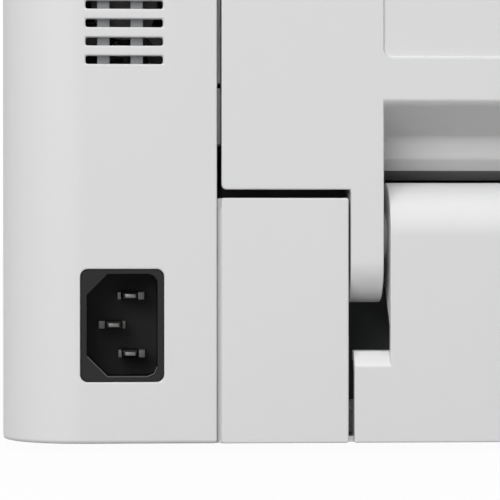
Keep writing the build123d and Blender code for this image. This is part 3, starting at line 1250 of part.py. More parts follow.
def adf_body():
    """Lower half of the document feeder: a trough with the sheets' exit slot on its right."""
    low = MID_Y - ADF_HALF_D
    high = MID_Y + ADF_HALF_D
    trough = along_z(rect(ADF_X0, ADF_X1, low, high, 4), ADF_BASE, ADF_SPLIT)
    hollow = rect(ADF_X0 + WALL, ADF_X1 - WALL, low + WALL, high - WALL, 2)
    trough -= along_z(hollow, ADF_BASE + WALL, ADF_SPLIT)
    trough -= along_y(rect(ADF_X0, ADF_X0 + 2 * WALL, ADF_SPLIT - ADF_HINGE_R - SEAT, ADF_SPLIT), low, high)
    mouth = rect(MID_Y - TRAY_HALF_D, MID_Y + TRAY_HALF_D, ADF_BASE + 4, ADF_BASE + 12, 2)
    trough -= along_x(mouth, ADF_X1 - WALL, ADF_X1)
    ear = disc(ADF_HINGE_X, ADF_SPLIT, ADF_HINGE_R)
    ear += rect(ADF_X0, ADF_HINGE_X + ADF_HINGE_R, ADF_SPLIT - 2 * ADF_HINGE_R, ADF_SPLIT)
    ear -= disc(ADF_HINGE_X, ADF_SPLIT, ADF_PIN_R + PIN_FIT)
    for y in (low, high - WALL):
        trough += along_y(ear, y, y + WALL)
        trough -= along_y(disc(ADF_ROLLER_X, ADF_ROLLER_Z, SHAFT_R + BEARING_FIT), y, y + WALL)
    lug = disc(TRAY_AXIS_X, TRAY_AXIS_Z, 4) + rect(ADF_X1 - 1, TRAY_AXIS_X, TRAY_AXIS_Z - 4, TRAY_AXIS_Z + 4)
    pin = disc(TRAY_AXIS_X, TRAY_AXIS_Z, TRAY_PIN_R)
    reach = TRAY_HALF_D + SEAT
    for y0, y1 in ((MID_Y - reach - 4, MID_Y - reach), (MID_Y + reach, MID_Y + reach + 4)):
        trough += along_y(lug, y0, y1)
    for y0, y1 in ((MID_Y - reach, MID_Y - reach + PIN_DEPTH), (MID_Y + reach - PIN_DEPTH, MID_Y + reach)):
        trough += along_y(pin, y0, y1)
    return trough


def adf_roller():
    """Feed roller of the document feeder on its cross shaft."""
    x = ADF_ROLLER_X
    z = ADF_ROLLER_Z
    shaft = along_y(disc(x, z, SHAFT_R), MID_Y - ADF_HALF_D + 0.5, MID_Y + ADF_HALF_D - 0.5)
    for y in (MID_Y - 60, MID_Y, MID_Y + 60):
        shaft += along_y(disc(x, z, ADF_ROLLER_R), y - 14, y + 14)
    return shaft


def adf_cover():
    """Feeder cover: a rolled shell with a finger notch, hinged along its left edge."""
    low = MID_Y - ADF_HALF_D
    high = MID_Y + ADF_HALF_D
    split = ADF_SPLIT + SEAT
    roll_x = ADF_X0 + ADF_ROLL_R
    outer = rect(roll_x, ADF_X1, split, ADF_TOP) + rect(ADF_X0, roll_x, split, ADF_TOP - ADF_ROLL_R)
    outer += disc(roll_x, ADF_TOP - ADF_ROLL_R, ADF_ROLL_R) & rect(ADF_X0, roll_x, split, ADF_TOP)
    r = ADF_ROLL_R - WALL
    inner = rect(roll_x, ADF_X1, split, ADF_TOP - WALL)
    inner += rect(ADF_X0 + WALL, roll_x, split, ADF_TOP - ADF_ROLL_R)
    inner += disc(roll_x, ADF_TOP - ADF_ROLL_R, r) & rect(ADF_X0, roll_x, split, ADF_TOP)
    inner -= rect(ADF_X1 - WALL, ADF_X1, split + 12, ADF_TOP)
    cover = along_y(outer - inner, low, high)
    for y in (low, high - WALL):
        cover += along_y(outer, y, y + WALL)
    mouth = rect(MID_Y - TRAY_HALF_D, MID_Y + TRAY_HALF_D, split, split + 14, 3)
    cover -= along_x(mouth, ADF_X1 - WALL, ADF_X1)
    barrel = disc(ADF_HINGE_X, ADF_SPLIT, ADF_HINGE_R)
    cover += along_y(barrel, low, high)
    r = ADF_HINGE_R
    clear = rect(ADF_X0, ADF_HINGE_X + r + 1, ADF_SPLIT - 2 * r, ADF_SPLIT + r + 1)
    for y0, y1 in ((low, low + WALL + SEAT), (high - WALL - SEAT, high)):
        cover -= along_y(clear, y0, y1)
    for y0, y1 in ((low + 0.5, low + WALL + 2), (high - WALL - 2, high - 0.5)):
        cover += along_y(disc(ADF_HINGE_X, ADF_SPLIT, ADF_PIN_R), y0, y1)
    rib = inner & rect(ADF_X0, ADF_X1 - WALL, ADF_TOP - 12, ADF_TOP)
    for y in (MID_Y - 90, MID_Y - 30, MID_Y + 30, MID_Y + 90):
        cover += along_y(rib, y - RIB_T / 2, y + RIB_T / 2)
    return cover


def tray_height(x):
    """Height of the input tray's upper face, which rises towards the right."""
    return TRAY_Z + TRAY_T + TRAY_RISE * (x - TRAY_AXIS_X) / (TRAY_X1 - TRAY_AXIS_X)


def adf_tray():
    """Input tray of the feeder: a thin sloped plate with a raised rim, hinged at its left end."""
    low = MID_Y - TRAY_HALF_D
    high = MID_Y + TRAY_HALF_D
    x0 = TRAY_AXIS_X
    end = tray_height(TRAY_X1)
    side = area((x0, tray_height(x0)), (TRAY_X1, end), (TRAY_X1, end - TRAY_T),
                (x0, tray_height(x0) - TRAY_T))
    side += disc(x0, TRAY_AXIS_Z, 3)
    tray = along_y(side, low, high)
    rim = area((x0 + 24, tray_height(x0 + 24)), (x0 + 34, tray_height(x0 + 34) + 5), (TRAY_X1, end + 5),
               (TRAY_X1, end), (x0 + 24, tray_height(x0 + 24) - 1))
    for y in (low, high - 2):
        tray += along_y(rim, y, y + 2)
    tray -= along_z(rect(TRAY_X1 - 26, TRAY_X1 + 26, MID_Y - 34, MID_Y + 34, 18), ADF_BASE, ADF_TOP)
    for x in (x0 + 50, x0 + 90):
        groove = rect(x, x + 4, MID_Y - ADF_GUIDE_Y + 2, MID_Y + ADF_GUIDE_Y - 2)
        tray -= along_z(groove, tray_height(x + 2) - 1, ADF_TOP)
    for y0, y1 in ((low, low + PIN_DEPTH + SEAT), (high - PIN_DEPTH - SEAT, high)):
        tray -= along_y(disc(x0, TRAY_AXIS_Z, TRAY_PIN_R + PIN_FIT), y0, y1)
    return tray


def rear_document_guide():
    """Width guide on the feeder's tray, a low fence on a foot that slides across the tray."""
    x0 = TRAY_AXIS_X + 26
    x1 = TRAY_AXIS_X + 116
    y = MID_Y + ADF_GUIDE_Y
    fence = area((x0, tray_height(x0) + SEAT), (x0 + 4, tray_height(x0) + SEAT + ADF_GUIDE_H),
                 (x1 - 4, tray_height(x1) + SEAT + ADF_GUIDE_H), (x1, tray_height(x1) + SEAT))
    foot = area((x0, tray_height(x0) + SEAT), (x0, tray_height(x0) + SEAT + 1.4),
                (x1, tray_height(x1) + SEAT + 1.4), (x1, tray_height(x1) + SEAT))
    return along_y(fence, y, y + 2) + along_y(foot, y - 30, y)


PANEL_TILT = atan2(PANEL_REACH - PANEL_TOP_REACH, SCANNER_TOP - PANEL_BOTTOM)
PANEL_FACE = Plane((0, FRONT - (PANEL_REACH + PANEL_TOP_REACH) / 2, (SCANNER_TOP + PANEL_BOTTOM) / 2),
                   (1, 0, 0), (0, -cos(PANEL_TILT), sin(PANEL_TILT)))


def on_panel(shape, below, above):
    """Solid drawn on the panel's sloped face, from a depth below it to a height above it."""
    return extrude(PANEL_FACE.offset(-below) * shape, below + above)


def screen_outline():
    """Outline of the touch screen on the panel's face."""
    x = SCREEN_W / 2
    y = SCREEN_H / 2
    return rect(SCREEN_X - x, SCREEN_X + x, -y, y, 3)


def control_panel():
    """Tilting control panel: a wedge with a recess for the screen and a pocket for each key."""
    back = FRONT - SEAT
    front = FRONT - PANEL_REACH
    side = area((back, PANEL_BOTTOM), (back, PANEL_AXIS_Z), (PANEL_AXIS_Y, SCANNER_TOP),
                (FRONT - PANEL_TOP_REACH, SCANNER_TOP), (front, PANEL_BOTTOM))
    side += disc(PANEL_AXIS_Y, PANEL_AXIS_Z, PANEL_ROUND)
    panel = along_x(side, -PANEL_HALF_W, PANEL_HALF_W)
    bore = disc(PANEL_AXIS_Y, PANEL_AXIS_Z, PANEL_PIN_R + PIN_FIT)
    panel -= both_sides(along_x(bore, PANEL_HALF_W - PIN_DEPTH - SEAT, PANEL_HALF_W))
    panel -= on_panel(offset(screen_outline(), SEAT), SCREEN_T, 1)
    for x in (START_KEY_X, POWER_KEY_X):
        panel -= on_panel(disc(x, 0, KEY_R + SEAT), KEY_DEPTH + KEY_RISE, 1)
    return panel


def touch_screen():
    """Flat touch screen set flush in the panel."""
    return on_panel(screen_outline(), SCREEN_T, 0)


def panel_key(x):
    """Round sprung key with a softened edge, standing a little proud of the panel."""
    key = on_panel(disc(x, 0, KEY_R), KEY_DEPTH, KEY_RISE)
    return chamfer(key.faces().sort_by(Axis.Y)[0].edges(), 0.5)


NODES = {
    "base_pan": base_pan,
    "rubber_feet": rubber_feet,
    "right_cover": right_cover,
    "left_cover": left_cover,
    "rear_frame": rear_frame,
    "front_frame": front_frame,
    "rear_lower_cover": rear_lower_cover,
    "rear_door": rear_door,
    "top_cover": top_cover,
    "bin_stop": bin_stop,
    "front_cover": front_cover,
    "mp_tray": mp_tray,
    "right_mp_guide": right_mp_guide,
    "left_mp_guide": lambda: other_side(right_mp_guide()),
    "cassette_tray": cassette_tray,
    "cassette_front": cassette_front,
    "lift_plate": lift_plate,
    "right_paper_guide": right_paper_guide,
    "left_paper_guide": lambda: other_side(right_paper_guide()),
    "rear_paper_stop": rear_paper_stop,
    "right_frame": right_frame,
    "left_frame": left_frame,
    "drive_bracket": drive_bracket,
    "drive_motor": drive_motor,
    "motor_pinion": motor_pinion,
    "main_gear": main_gear,
    "drum_gear": drum_gear,
    "fuser_gear": fuser_gear,
    "photo_drum": photo_drum,
    "transfer_roller": transfer_roller,
    "toner_cartridge": toner_cartridge,
    "heat_roller": heat_roller,
    "pressure_roller": pressure_roller,
    "fuser_housing": fuser_housing,
    "pickup_roller": pickup_roller,
    "exit_roller": exit_roller,
    "laser_unit": laser_unit,
    "polygon_mirror": polygon_mirror,
    "power_supply_board": power_supply_board,
    "power_inlet": power_inlet,
    "inlet_pins": inlet_pins,
    "mainboard": mainboard,
    "fan_housing": fan_housing,
    "fan_rotor": fan_rotor,
    "scanner_base": scanner_base,
    "scanner_bezel": scanner_bezel,
    "platen_glass": platen_glass,
    "scan_carriage": scan_carriage,
    "lid": lid,
    "platen_pad": platen_pad,
    "adf_body": adf_body,
    "adf_roller": adf_roller,
    "adf_cover": adf_cover,
    "adf_tray": adf_tray,
    "rear_document_guide": rear_document_guide,
    "front_document_guide": lambda: mirror(rear_document_guide(), Plane.XZ.offset(-MID_Y)),
    "control_panel": control_panel,
    "touch_screen": touch_screen,
    "power_key": lambda: panel_key(POWER_KEY_X),
    "start_key": lambda: panel_key(START_KEY_X),
}

os.makedirs("parts", exist_ok=True)
for name, build in NODES.items():
    export_step(build(), f"parts/{name}.step")
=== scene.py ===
import json
from math import atan, cos, pi, radians, sin

import bmesh
import bpy
from mathutils import Matrix, Vector

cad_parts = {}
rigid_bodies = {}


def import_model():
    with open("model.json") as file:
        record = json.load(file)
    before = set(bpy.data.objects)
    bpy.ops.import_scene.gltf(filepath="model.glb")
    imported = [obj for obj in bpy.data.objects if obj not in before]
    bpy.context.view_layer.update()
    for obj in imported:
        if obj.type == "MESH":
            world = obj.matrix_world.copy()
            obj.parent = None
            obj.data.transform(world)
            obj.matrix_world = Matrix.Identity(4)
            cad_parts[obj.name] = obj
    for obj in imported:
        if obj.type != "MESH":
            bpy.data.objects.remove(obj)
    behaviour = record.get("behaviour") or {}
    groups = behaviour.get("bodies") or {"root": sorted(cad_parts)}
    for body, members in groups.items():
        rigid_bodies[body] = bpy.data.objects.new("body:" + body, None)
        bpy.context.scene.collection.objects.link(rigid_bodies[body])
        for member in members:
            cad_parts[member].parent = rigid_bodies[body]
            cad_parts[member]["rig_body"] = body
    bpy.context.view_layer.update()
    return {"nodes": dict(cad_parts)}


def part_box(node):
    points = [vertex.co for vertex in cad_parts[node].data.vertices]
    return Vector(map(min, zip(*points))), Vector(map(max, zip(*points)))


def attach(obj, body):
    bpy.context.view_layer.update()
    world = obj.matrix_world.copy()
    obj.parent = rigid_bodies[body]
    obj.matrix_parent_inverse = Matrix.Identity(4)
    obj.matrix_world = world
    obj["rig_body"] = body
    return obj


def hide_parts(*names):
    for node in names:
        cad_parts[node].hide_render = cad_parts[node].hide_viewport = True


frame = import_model()

# Camera: behind the machine at the height of the inlet, a little inboard of its right side,
# looking very slightly inwards, with the long lens that the flat view of the rear face asks for.
PIXELS_PER_METRE = 4170.0
PICTURE_WIDTH = 500
EYE = Vector((0.179, 0.80, 0.052))
REAR_FACE_Y = 0.200
AIM = Vector((0.1452, REAR_FACE_Y, 0.0484))

camera_data = bpy.data.cameras.new("view")
camera = bpy.data.objects.new("view", camera_data)
bpy.context.scene.collection.objects.link(camera)
camera.location = EYE
camera.rotation_euler = (AIM - EYE).to_track_quat("-Z", "Y").to_euler()
camera_data.angle = 2 * atan(PICTURE_WIDTH / PIXELS_PER_METRE / 2 / (EYE - AIM).length)
camera_data.clip_start = 0.01
bpy.context.scene.camera = camera

# Floor and backdrop: one white sweep that stands in for the studio. It shows white to the
# camera, and keeps a soft part of the shadow that the machine throws on it.
FLOOR_SIZE = 12.0
FLOOR_TONE = (0.23, 0.23, 0.23, 1)
FLOOR_GLOW = 1.06
SHADOW_SHARE = 0.10

floor_mesh = bmesh.new()
bmesh.ops.create_grid(floor_mesh, x_segments=1, y_segments=1, size=FLOOR_SIZE / 2)
floor_data = bpy.data.meshes.new("floor")
floor_mesh.to_mesh(floor_data)
floor_mesh.free()
floor = bpy.data.objects.new("floor", floor_data)
bpy.context.scene.collection.objects.link(floor)

floor_paint = bpy.data.materials.new("white_sweep")
floor_paint.use_nodes = True
nodes = floor_paint.node_tree.nodes
links = floor_paint.node_tree.links
nodes["Principled BSDF"].inputs["Base Color"].default_value = FLOOR_TONE
nodes["Principled BSDF"].inputs["Roughness"].default_value = 0.9
glow = nodes.new("ShaderNodeEmission")
glow.inputs["Strength"].default_value = FLOOR_GLOW
rays = nodes.new("ShaderNodeLightPath")
seen = nodes.new("ShaderNodeMath")
seen.operation = "MAXIMUM"
links.new(rays.outputs["Is Camera Ray"], seen.inputs[0])
links.new(rays.outputs["Is Glossy Ray"], seen.inputs[1])
share = nodes.new("ShaderNodeMath")
share.operation = "MULTIPLY"
share.inputs[1].default_value = 1 - SHADOW_SHARE
links.new(seen.outputs[0], share.inputs[0])
mix = nodes.new("ShaderNodeMixShader")
links.new(share.outputs[0], mix.inputs[0])
links.new(nodes["Principled BSDF"].outputs[0], mix.inputs[1])
links.new(glow.outputs[0], mix.inputs[2])
links.new(mix.outputs[0], nodes["Material Output"].inputs["Surface"])
floor_data.materials.append(floor_paint)

# Studio light: a wide soft box over the machine, one before each end, and a white surround that
# fades towards the floor. Level faces come out a little brighter than upright ones, and what
# faces down stays in the shade, as in the photograph.
SURROUND_BELOW = 0.15
SURROUND_ABOVE = 0.85
LAMPS_AIM = Vector((0, 0, 0.15))
SOFT_BOXES = (
    ("top_box", (0.15, 0.55, 1.75), 1.6, 11.0),
    ("rear_box", (1.05, 2.00, 1.05), 1.5, 26.0),
    ("front_box", (-0.80, -1.90, 1.10), 1.5, 20.0),
)

world = bpy.data.worlds.new("studio")
bpy.context.scene.world = world
world.use_nodes = True
nodes = world.node_tree.nodes
links = world.node_tree.links
surround = nodes["Background"]
heading = nodes.new("ShaderNodeTexCoord")
height = nodes.new("ShaderNodeSeparateXYZ")
links.new(heading.outputs["Generated"], height.inputs[0])
fade = nodes.new("ShaderNodeMapRange")
fade.inputs["From Min"].default_value = -1.0
fade.inputs["To Min"].default_value = SURROUND_BELOW
fade.inputs["To Max"].default_value = SURROUND_ABOVE
links.new(height.outputs["Z"], fade.inputs["Value"])
links.new(fade.outputs[0], surround.inputs["Strength"])
backdrop = nodes.new("ShaderNodeBackground")
backdrop.inputs["Color"].default_value = (1, 1, 1, 1)
surround.inputs["Color"].default_value = (1, 1, 1, 1)
rays = nodes.new("ShaderNodeLightPath")
seen = nodes.new("ShaderNodeMath")
seen.operation = "MAXIMUM"
links.new(rays.outputs["Is Camera Ray"], seen.inputs[0])
links.new(rays.outputs["Is Transmission Ray"], seen.inputs[1])
mix = nodes.new("ShaderNodeMixShader")
links.new(seen.outputs[0], mix.inputs[0])
links.new(surround.outputs[0], mix.inputs[1])
links.new(backdrop.outputs[0], mix.inputs[2])
links.new(mix.outputs[0], nodes["World Output"].inputs["Surface"])
for name, place, width, power in SOFT_BOXES:
    lamp_data = bpy.data.lights.new(name, "AREA")
    lamp_data.size = width
    lamp_data.energy = power
    lamp = bpy.data.objects.new(name, lamp_data)
    bpy.context.scene.collection.objects.link(lamp)
    lamp.location = place
    lamp.rotation_euler = (LAMPS_AIM - Vector(place)).to_track_quat("-Z", "Y").to_euler()
bpy.context.scene.view_settings.view_transform = "Standard"


# Outer covers: injection-moulded panels with a fine spark-eroded grain in off-white, clipped
# to the frames inside. Their edges leave the mould with a small radius.
COVER_WHITE = (0.72, 0.72, 0.725, 1)
COVER_ROUGHNESS = 0.48
COVER_EDGE = 0.00045
GRAIN_PER_METRE = 2600.0
MERGE = 2e-6
FLAT = radians(0.6)
SHARP = radians(32)


def socket(tree, name, side, kind="NodeSocketFloat", value=None):
    """Adds a named input or output to a node group."""
    item = tree.interface.new_socket(name=name, in_out=side, socket_type=kind)
    if value is not None:
        item.default_value = value


def grain_group():
    """Moulded grain: a colour that drifts a little, roughness that varies, and a pitted height."""
    tree = bpy.data.node_groups.new("moulded_grain", "ShaderNodeTree")
    socket(tree, "Colour", "INPUT", "NodeSocketColor", (0.8, 0.8, 0.8, 1))
    socket(tree, "Roughness", "INPUT", value=0.5)
    socket(tree, "Grains per metre", "INPUT", value=GRAIN_PER_METRE)
    socket(tree, "Drift", "INPUT", value=0.03)
    socket(tree, "Colour", "OUTPUT", "NodeSocketColor")
    socket(tree, "Roughness", "OUTPUT")
    socket(tree, "Height", "OUTPUT")
    add = tree.nodes.new
    join = tree.links.new
    given = add("NodeGroupInput")
    out = add("NodeGroupOutput")
    place = add("ShaderNodeTexCoord")
    grain = add("ShaderNodeTexNoise")
    grain.inputs["Detail"].default_value = 2.0
    join(place.outputs["Object"], grain.inputs["Vector"])
    join(given.outputs["Grains per metre"], grain.inputs["Scale"])
    broad = add("ShaderNodeTexNoise")
    broad.inputs["Scale"].default_value = 9.0
    broad.inputs["Detail"].default_value = 3.0
    join(place.outputs["Object"], broad.inputs["Vector"])
    centred = add("ShaderNodeMath")
    centred.operation = "SUBTRACT"
    centred.inputs[1].default_value = 0.5
    join(broad.outputs[0], centred.inputs[0])
    drift = add("ShaderNodeMath")
    drift.operation = "MULTIPLY_ADD"
    drift.inputs[2].default_value = 1.0
    join(centred.outputs[0], drift.inputs[0])
    join(given.outputs["Drift"], drift.inputs[1])
    tint = add("ShaderNodeVectorMath")
    tint.operation = "SCALE"
    join(given.outputs["Colour"], tint.inputs[0])
    join(drift.outputs[0], tint.inputs["Scale"])
    join(tint.outputs[0], out.inputs["Colour"])
    polish = add("ShaderNodeMath")
    polish.operation = "MULTIPLY_ADD"
    polish.inputs[1].default_value = 0.10
    join(grain.outputs[0], polish.inputs[0])
    join(given.outputs["Roughness"], polish.inputs[2])
    join(polish.outputs[0], out.inputs["Roughness"])
    join(grain.outputs[0], out.inputs["Height"])
    return tree


moulded_grain = grain_group()


def plastic(name, colour, roughness, depth=0.00002, per_metre=GRAIN_PER_METRE, drift=0.03, coat=0.0):
    """Material of a moulded plastic, or of anything else with one colour and a fine grain."""
    material = bpy.data.materials.new(name)
    material.use_nodes = True
    tree = material.node_tree
    shader = tree.nodes["Principled BSDF"]
    grain = tree.nodes.new("ShaderNodeGroup")
    grain.node_tree = moulded_grain
    grain.inputs["Colour"].default_value = colour
    grain.inputs["Roughness"].default_value = roughness
    grain.inputs["Grains per metre"].default_value = per_metre
    grain.inputs["Drift"].default_value = drift
    bump = tree.nodes.new("ShaderNodeBump")
    bump.inputs["Strength"].default_value = 0.6
    bump.inputs["Distance"].default_value = depth
    tree.links.new(grain.outputs["Colour"], shader.inputs["Base Color"])
    tree.links.new(grain.outputs["Roughness"], shader.inputs["Roughness"])
    tree.links.new(grain.outputs["Height"], bump.inputs["Height"])
    tree.links.new(bump.outputs["Normal"], shader.inputs["Normal"])
    shader.inputs["Coat Weight"].default_value = coat
    return material


def merged(node):
    """The mesh of a CAD node as a bmesh, with its triangles joined into whole faces."""
    mesh = bmesh.new()
    mesh.from_mesh(frame["nodes"][node].data)
    bmesh.ops.remove_doubles(mesh, verts=mesh.verts, dist=MERGE)
    bmesh.ops.dissolve_limit(mesh, angle_limit=FLAT, verts=mesh.verts, edges=mesh.edges)
    return mesh


def soften(mesh, width):
    """Rounds the sharp edges of a bmesh, and keeps its corners inside the box that it had."""
    edges = [e for e in mesh.edges if e.is_manifold and e.calc_face_angle(0) > SHARP]
    spans = [(min(places), max(places)) for places in zip(*(v.co for v in mesh.verts))]
    bmesh.ops.bevel(mesh, geom=edges, affect="EDGES", offset=width, offset_type="OFFSET", segments=2,
                    profile=0.5, material=-1, clamp_overlap=False)
    for vertex in mesh.verts:
        vertex.co = [min(max(place, low), high) for place, (low, high) in zip(vertex.co, spans)]


def piece(mesh, name, body, slot, *materials):
    """Turns a bmesh into a smooth-shaded object that rides on a body and has the given materials."""
    for face in mesh.faces:
        face.smooth = True
    for edge in mesh.edges:
        edge.smooth = edge.calc_face_angle(pi) < SHARP
    data = bpy.data.meshes.new(name)
    mesh.to_mesh(data)
    mesh.free()
    thing = bpy.data.objects.new(name, data)
    bpy.context.scene.collection.objects.link(thing)
    for material in materials:
        data.materials.append(material)
    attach(thing, body)
    return thing


def painted(node, slot, width, part_of, *materials):
    """Shows a CAD node as a copy whose faces take the material that part_of(face) names by number."""
    mesh = merged(node)
    for face in mesh.faces:
        face.material_index = part_of(face)
    if width:
        soften(mesh, width)
    thing = piece(mesh, node + "_skin", frame["nodes"][node]["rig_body"], slot, *materials)
    normals = thing.modifiers.new("even_faces", "WEIGHTED_NORMAL")
    normals.keep_sharp = True
    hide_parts(node)


def dressed(node, slot, material, width=COVER_EDGE):
    """Shows a CAD node as a copy of itself with rounded edges and a finish."""
    painted(node, slot, width, lambda face: 0, material)


cover_plastic = plastic("cover_white", COVER_WHITE, COVER_ROUGHNESS)
for node in ("right_cover", "left_cover", "rear_frame", "rear_lower_cover", "rear_door", "top_cover",
             "front_cover", "mp_tray", "cassette_front", "scanner_base", "scanner_bezel", "lid",
             "adf_body", "adf_cover"):
    dressed(node, "cover_white", cover_plastic)

# Inner mouldings of the paper path: the cassette's tray, its guides and the front frame, in
# mid-grey plastic with the same grain, sliding or clipped in the covers.
MID_GREY = (0.30, 0.31, 0.32, 1)

grey_plastic = plastic("grey_plastic", MID_GREY, 0.5)
for node in ("cassette_tray", "adf_tray", "right_paper_guide", "left_paper_guide", "rear_paper_stop",
             "right_mp_guide", "left_mp_guide", "rear_document_guide", "front_document_guide",
             "bin_stop", "front_frame"):
    dressed(node, "grey_plastic", grey_plastic, 0.0003)

# Ribs of the vent: two uprights behind the louvre of the right cover, taken to be moulded
# strips fixed to the inside of its wall. They are taken to be white like the cover, and their
# mid-grey is painted shade for the shade behind the louvre.
RIB_X = (180.3, 172.3)
RIB_HALF = 1.5
WALL_INSIDE_Y = 197.6


def block(mesh, low, high, edge=0.0):
    """Adds a box between two corners, given in millimetres, with its edges broken by a small bevel."""
    low = Vector(low) / 1000
    high = Vector(high) / 1000
    place = Matrix.Translation((low + high) / 2) @ Matrix.Diagonal((*(high - low), 1))
    made = bmesh.ops.create_cube(mesh, size=1, matrix=place)["verts"]
    if edge:
        edges = list({e for v in made for e in v.link_edges})
        bmesh.ops.bevel(mesh, geom=edges, affect="EDGES", offset=edge / 1000, offset_type="OFFSET",
                        segments=2, profile=0.5, material=-1, clamp_overlap=True)


mesh = bmesh.new()
for x in RIB_X:
    block(mesh, (x - RIB_HALF, WALL_INSIDE_Y - 1.6, 88.5), (x + RIB_HALF, WALL_INSIDE_Y, 125.5), 0.2)
piece(mesh, "vent_ribs", "root", "grey_plastic", grey_plastic)

# Locating ribs of the corner panels: a small grey nib on the inner end of each, in the gap beside
# the lower cover. The photograph shows the right one.
SIDES = ((1, "right"), (-1, "left"))
NIB_X = (120.25, 121.6)
NIB_Y = (193.4, 195.3)
NIB_Z = (9.5, 11.2)

for side, name in SIDES:
    mesh = bmesh.new()
    block(mesh, (side * NIB_X[0], NIB_Y[0], NIB_Z[0]), (side * NIB_X[1], NIB_Y[1], NIB_Z[1]), 0.15)
    bmesh.ops.recalc_face_normals(mesh, faces=mesh.faces)
    piece(mesh, "panel_nib_" + name, "root", "grey_plastic", grey_plastic)

# Filler strips of the rear seams: white ribs on the rear frame's flanges, broken where a dark
# block of painted shade fills the joint, and light grey sheets in the grooves below them, whose
# grey is painted shade in the grooves. They are guesses that give the seams the photograph's
# tones, and stand on the rear frame.
FILLER_X = (152.2, 153.03)
FILLER_Y = (191.8, 195.5)
FILLER_SPANS = ((73.9, 87.4), (88.7, 244.0))
GROOVE_SHADE_X = (152.02, 152.98)
GROOVE_SHADE_Y = (198.7, 199.1)
GROOVE_SHADE_Z = (2.6, 60.6)

# Light grey of the groove sheets: painted shade.
groove_shade_grey = plastic("groove_shade_grey", (0.47, 0.47, 0.475, 1), 0.6, 0.00001)
for side, name in SIDES:
    mesh = bmesh.new()
    for foot, head in FILLER_SPANS:
        block(mesh, (side * FILLER_X[0], FILLER_Y[0], foot), (side * FILLER_X[1], FILLER_Y[1], head))
    bmesh.ops.recalc_face_normals(mesh, faces=mesh.faces)
    piece(mesh, "seam_filler_" + name, "root", "cover_white", cover_plastic)
    mesh = bmesh.new()
    block(mesh, (side * GROOVE_SHADE_X[0], GROOVE_SHADE_Y[0], GROOVE_SHADE_Z[0]), (side * GROOVE_SHADE_X[1], GROOVE_SHADE_Y[1], GROOVE_SHADE_Z[1]))
    bmesh.ops.recalc_face_normals(mesh, faces=mesh.faces)
    piece(mesh, "seam_groove_shade_" + name, "root", "grey_plastic", groove_shade_grey)

# Dark strips of painted shade: black blocks behind the door's lower edges and in the joint of
# the frame's flange, standing on the rear frame, and a dark grey strip on the lower lip of the
# door's paper guide, riding on the door. They are guesses that give these gaps the photograph's
# depth of shade.
DOOR_SHADE_LOW = (122.0, 187.9, 58.6)
DOOR_SHADE_HIGH = (151.9, 189.0, 67.5)
JOINT_SHADE_LOW = (150.0, 191.5, 87.5)
JOINT_SHADE_HIGH = (154.5, 192.06, 88.6)
GUIDE_HALF = 112.6
GUIDE_SHADE_Y = (-1.45, 1.25)
GUIDE_SHADE_T = 0.45
GUIDE_LIP = (0, 0.18045, 0.0668)
GUIDE_LEAN = atan(4.9 / 3.56) - pi

# Both colours below are painted shade in the gaps.
painted_shade_black = plastic("painted_shade_black", (0.045, 0.045, 0.046, 1), 0.95, 0.00004, 1800.0)
guide_painted_shade = plastic("guide_painted_shade", (0.085, 0.085, 0.087, 1), 0.95, 0.00004, 1800.0)
for side, name in SIDES:
    mesh = bmesh.new()
    for low, high, edge in ((DOOR_SHADE_LOW, DOOR_SHADE_HIGH, 0.3), (JOINT_SHADE_LOW, JOINT_SHADE_HIGH, 0)):
        block(mesh, (side * low[0], *low[1:]), (side * high[0], *high[1:]), edge)
    bmesh.ops.recalc_face_normals(mesh, faces=mesh.faces)
    piece(mesh, "frame_painted_shade_" + name, "root", "black_plastic", painted_shade_black)
mesh = bmesh.new()
# Painted shade strip on the guide's lower lip.
block(mesh, (-GUIDE_HALF, GUIDE_SHADE_Y[0], 0), (GUIDE_HALF, GUIDE_SHADE_Y[1], GUIDE_SHADE_T), 0.15)
bmesh.ops.rotate(mesh, verts=mesh.verts, cent=(0, 0, 0), matrix=Matrix.Rotation(GUIDE_LEAN, 4, "X"))
bmesh.ops.translate(mesh, verts=mesh.verts, vec=GUIDE_LIP)
piece(mesh, "guide_painted_shade", "door_body", "black_plastic", guide_painted_shade)

# Black mouldings: fuser and laser housings, toner cartridge and scan carriage, satin and a
# little smoother than the covers. The fan is a lighter grey, as in the photograph.
SATIN_BLACK = (0.022, 0.022, 0.024, 1)

black_plastic = plastic("black_plastic", SATIN_BLACK, 0.42, 0.00001)
for node in ("toner_cartridge", "fuser_housing", "laser_unit", "scan_carriage"):
    dressed(node, "black_plastic", black_plastic, 0.0002)
fan_plastic = plastic("fan_plastic", (0.075, 0.075, 0.078, 1), 0.5, 0.00001)
for node in ("fan_housing", "fan_rotor"):
    dressed(node, "black_plastic", fan_plastic, 0.0002)

# Mains inlet: a matt black thermoplastic socket, snapped into the right cover. The small lighter
# grey ribs at each side of a contact are painted glints beside the contacts. The lighter line
# round the cavity's lower lip is a guess, a painted highlight on the lip.
TOP_Z = 37.3
EARTH_Z = 30.3
LOW_Z = 23.3
GLINT_MARKS = ((176.5, TOP_Z, 0.8), (171.2, TOP_Z, 1.5), (180.7, EARTH_Z, 1.5), (175.4, EARTH_Z, 0.8),
           (176.3, LOW_Z, 0.8), (171.0, LOW_Z, 1.5))
GLINT_Y = (184.8, 194.2)
GLINT_RISE = 0.9
LIP_Y = 199.72
LIP_R = 0.13
LIP_CORNERS = ((184.2, 22.9), (179.3, 18.05), (169.8, 18.05), (168.1, 18.8), (167.45, 20.4))


def rod(mesh, start, end, radius, sides):
    """Adds a round bar between two points, in millimetres."""
    start = Vector(start) / 1000
    end = Vector(end) / 1000
    turn = (end - start).to_track_quat("Z", "Y").to_matrix().to_4x4()
    bmesh.ops.create_cone(mesh, cap_ends=True, segments=sides, radius1=radius / 1000,
                          radius2=radius / 1000, depth=(end - start).length,
                          matrix=Matrix.Translation((start + end) / 2) @ turn)


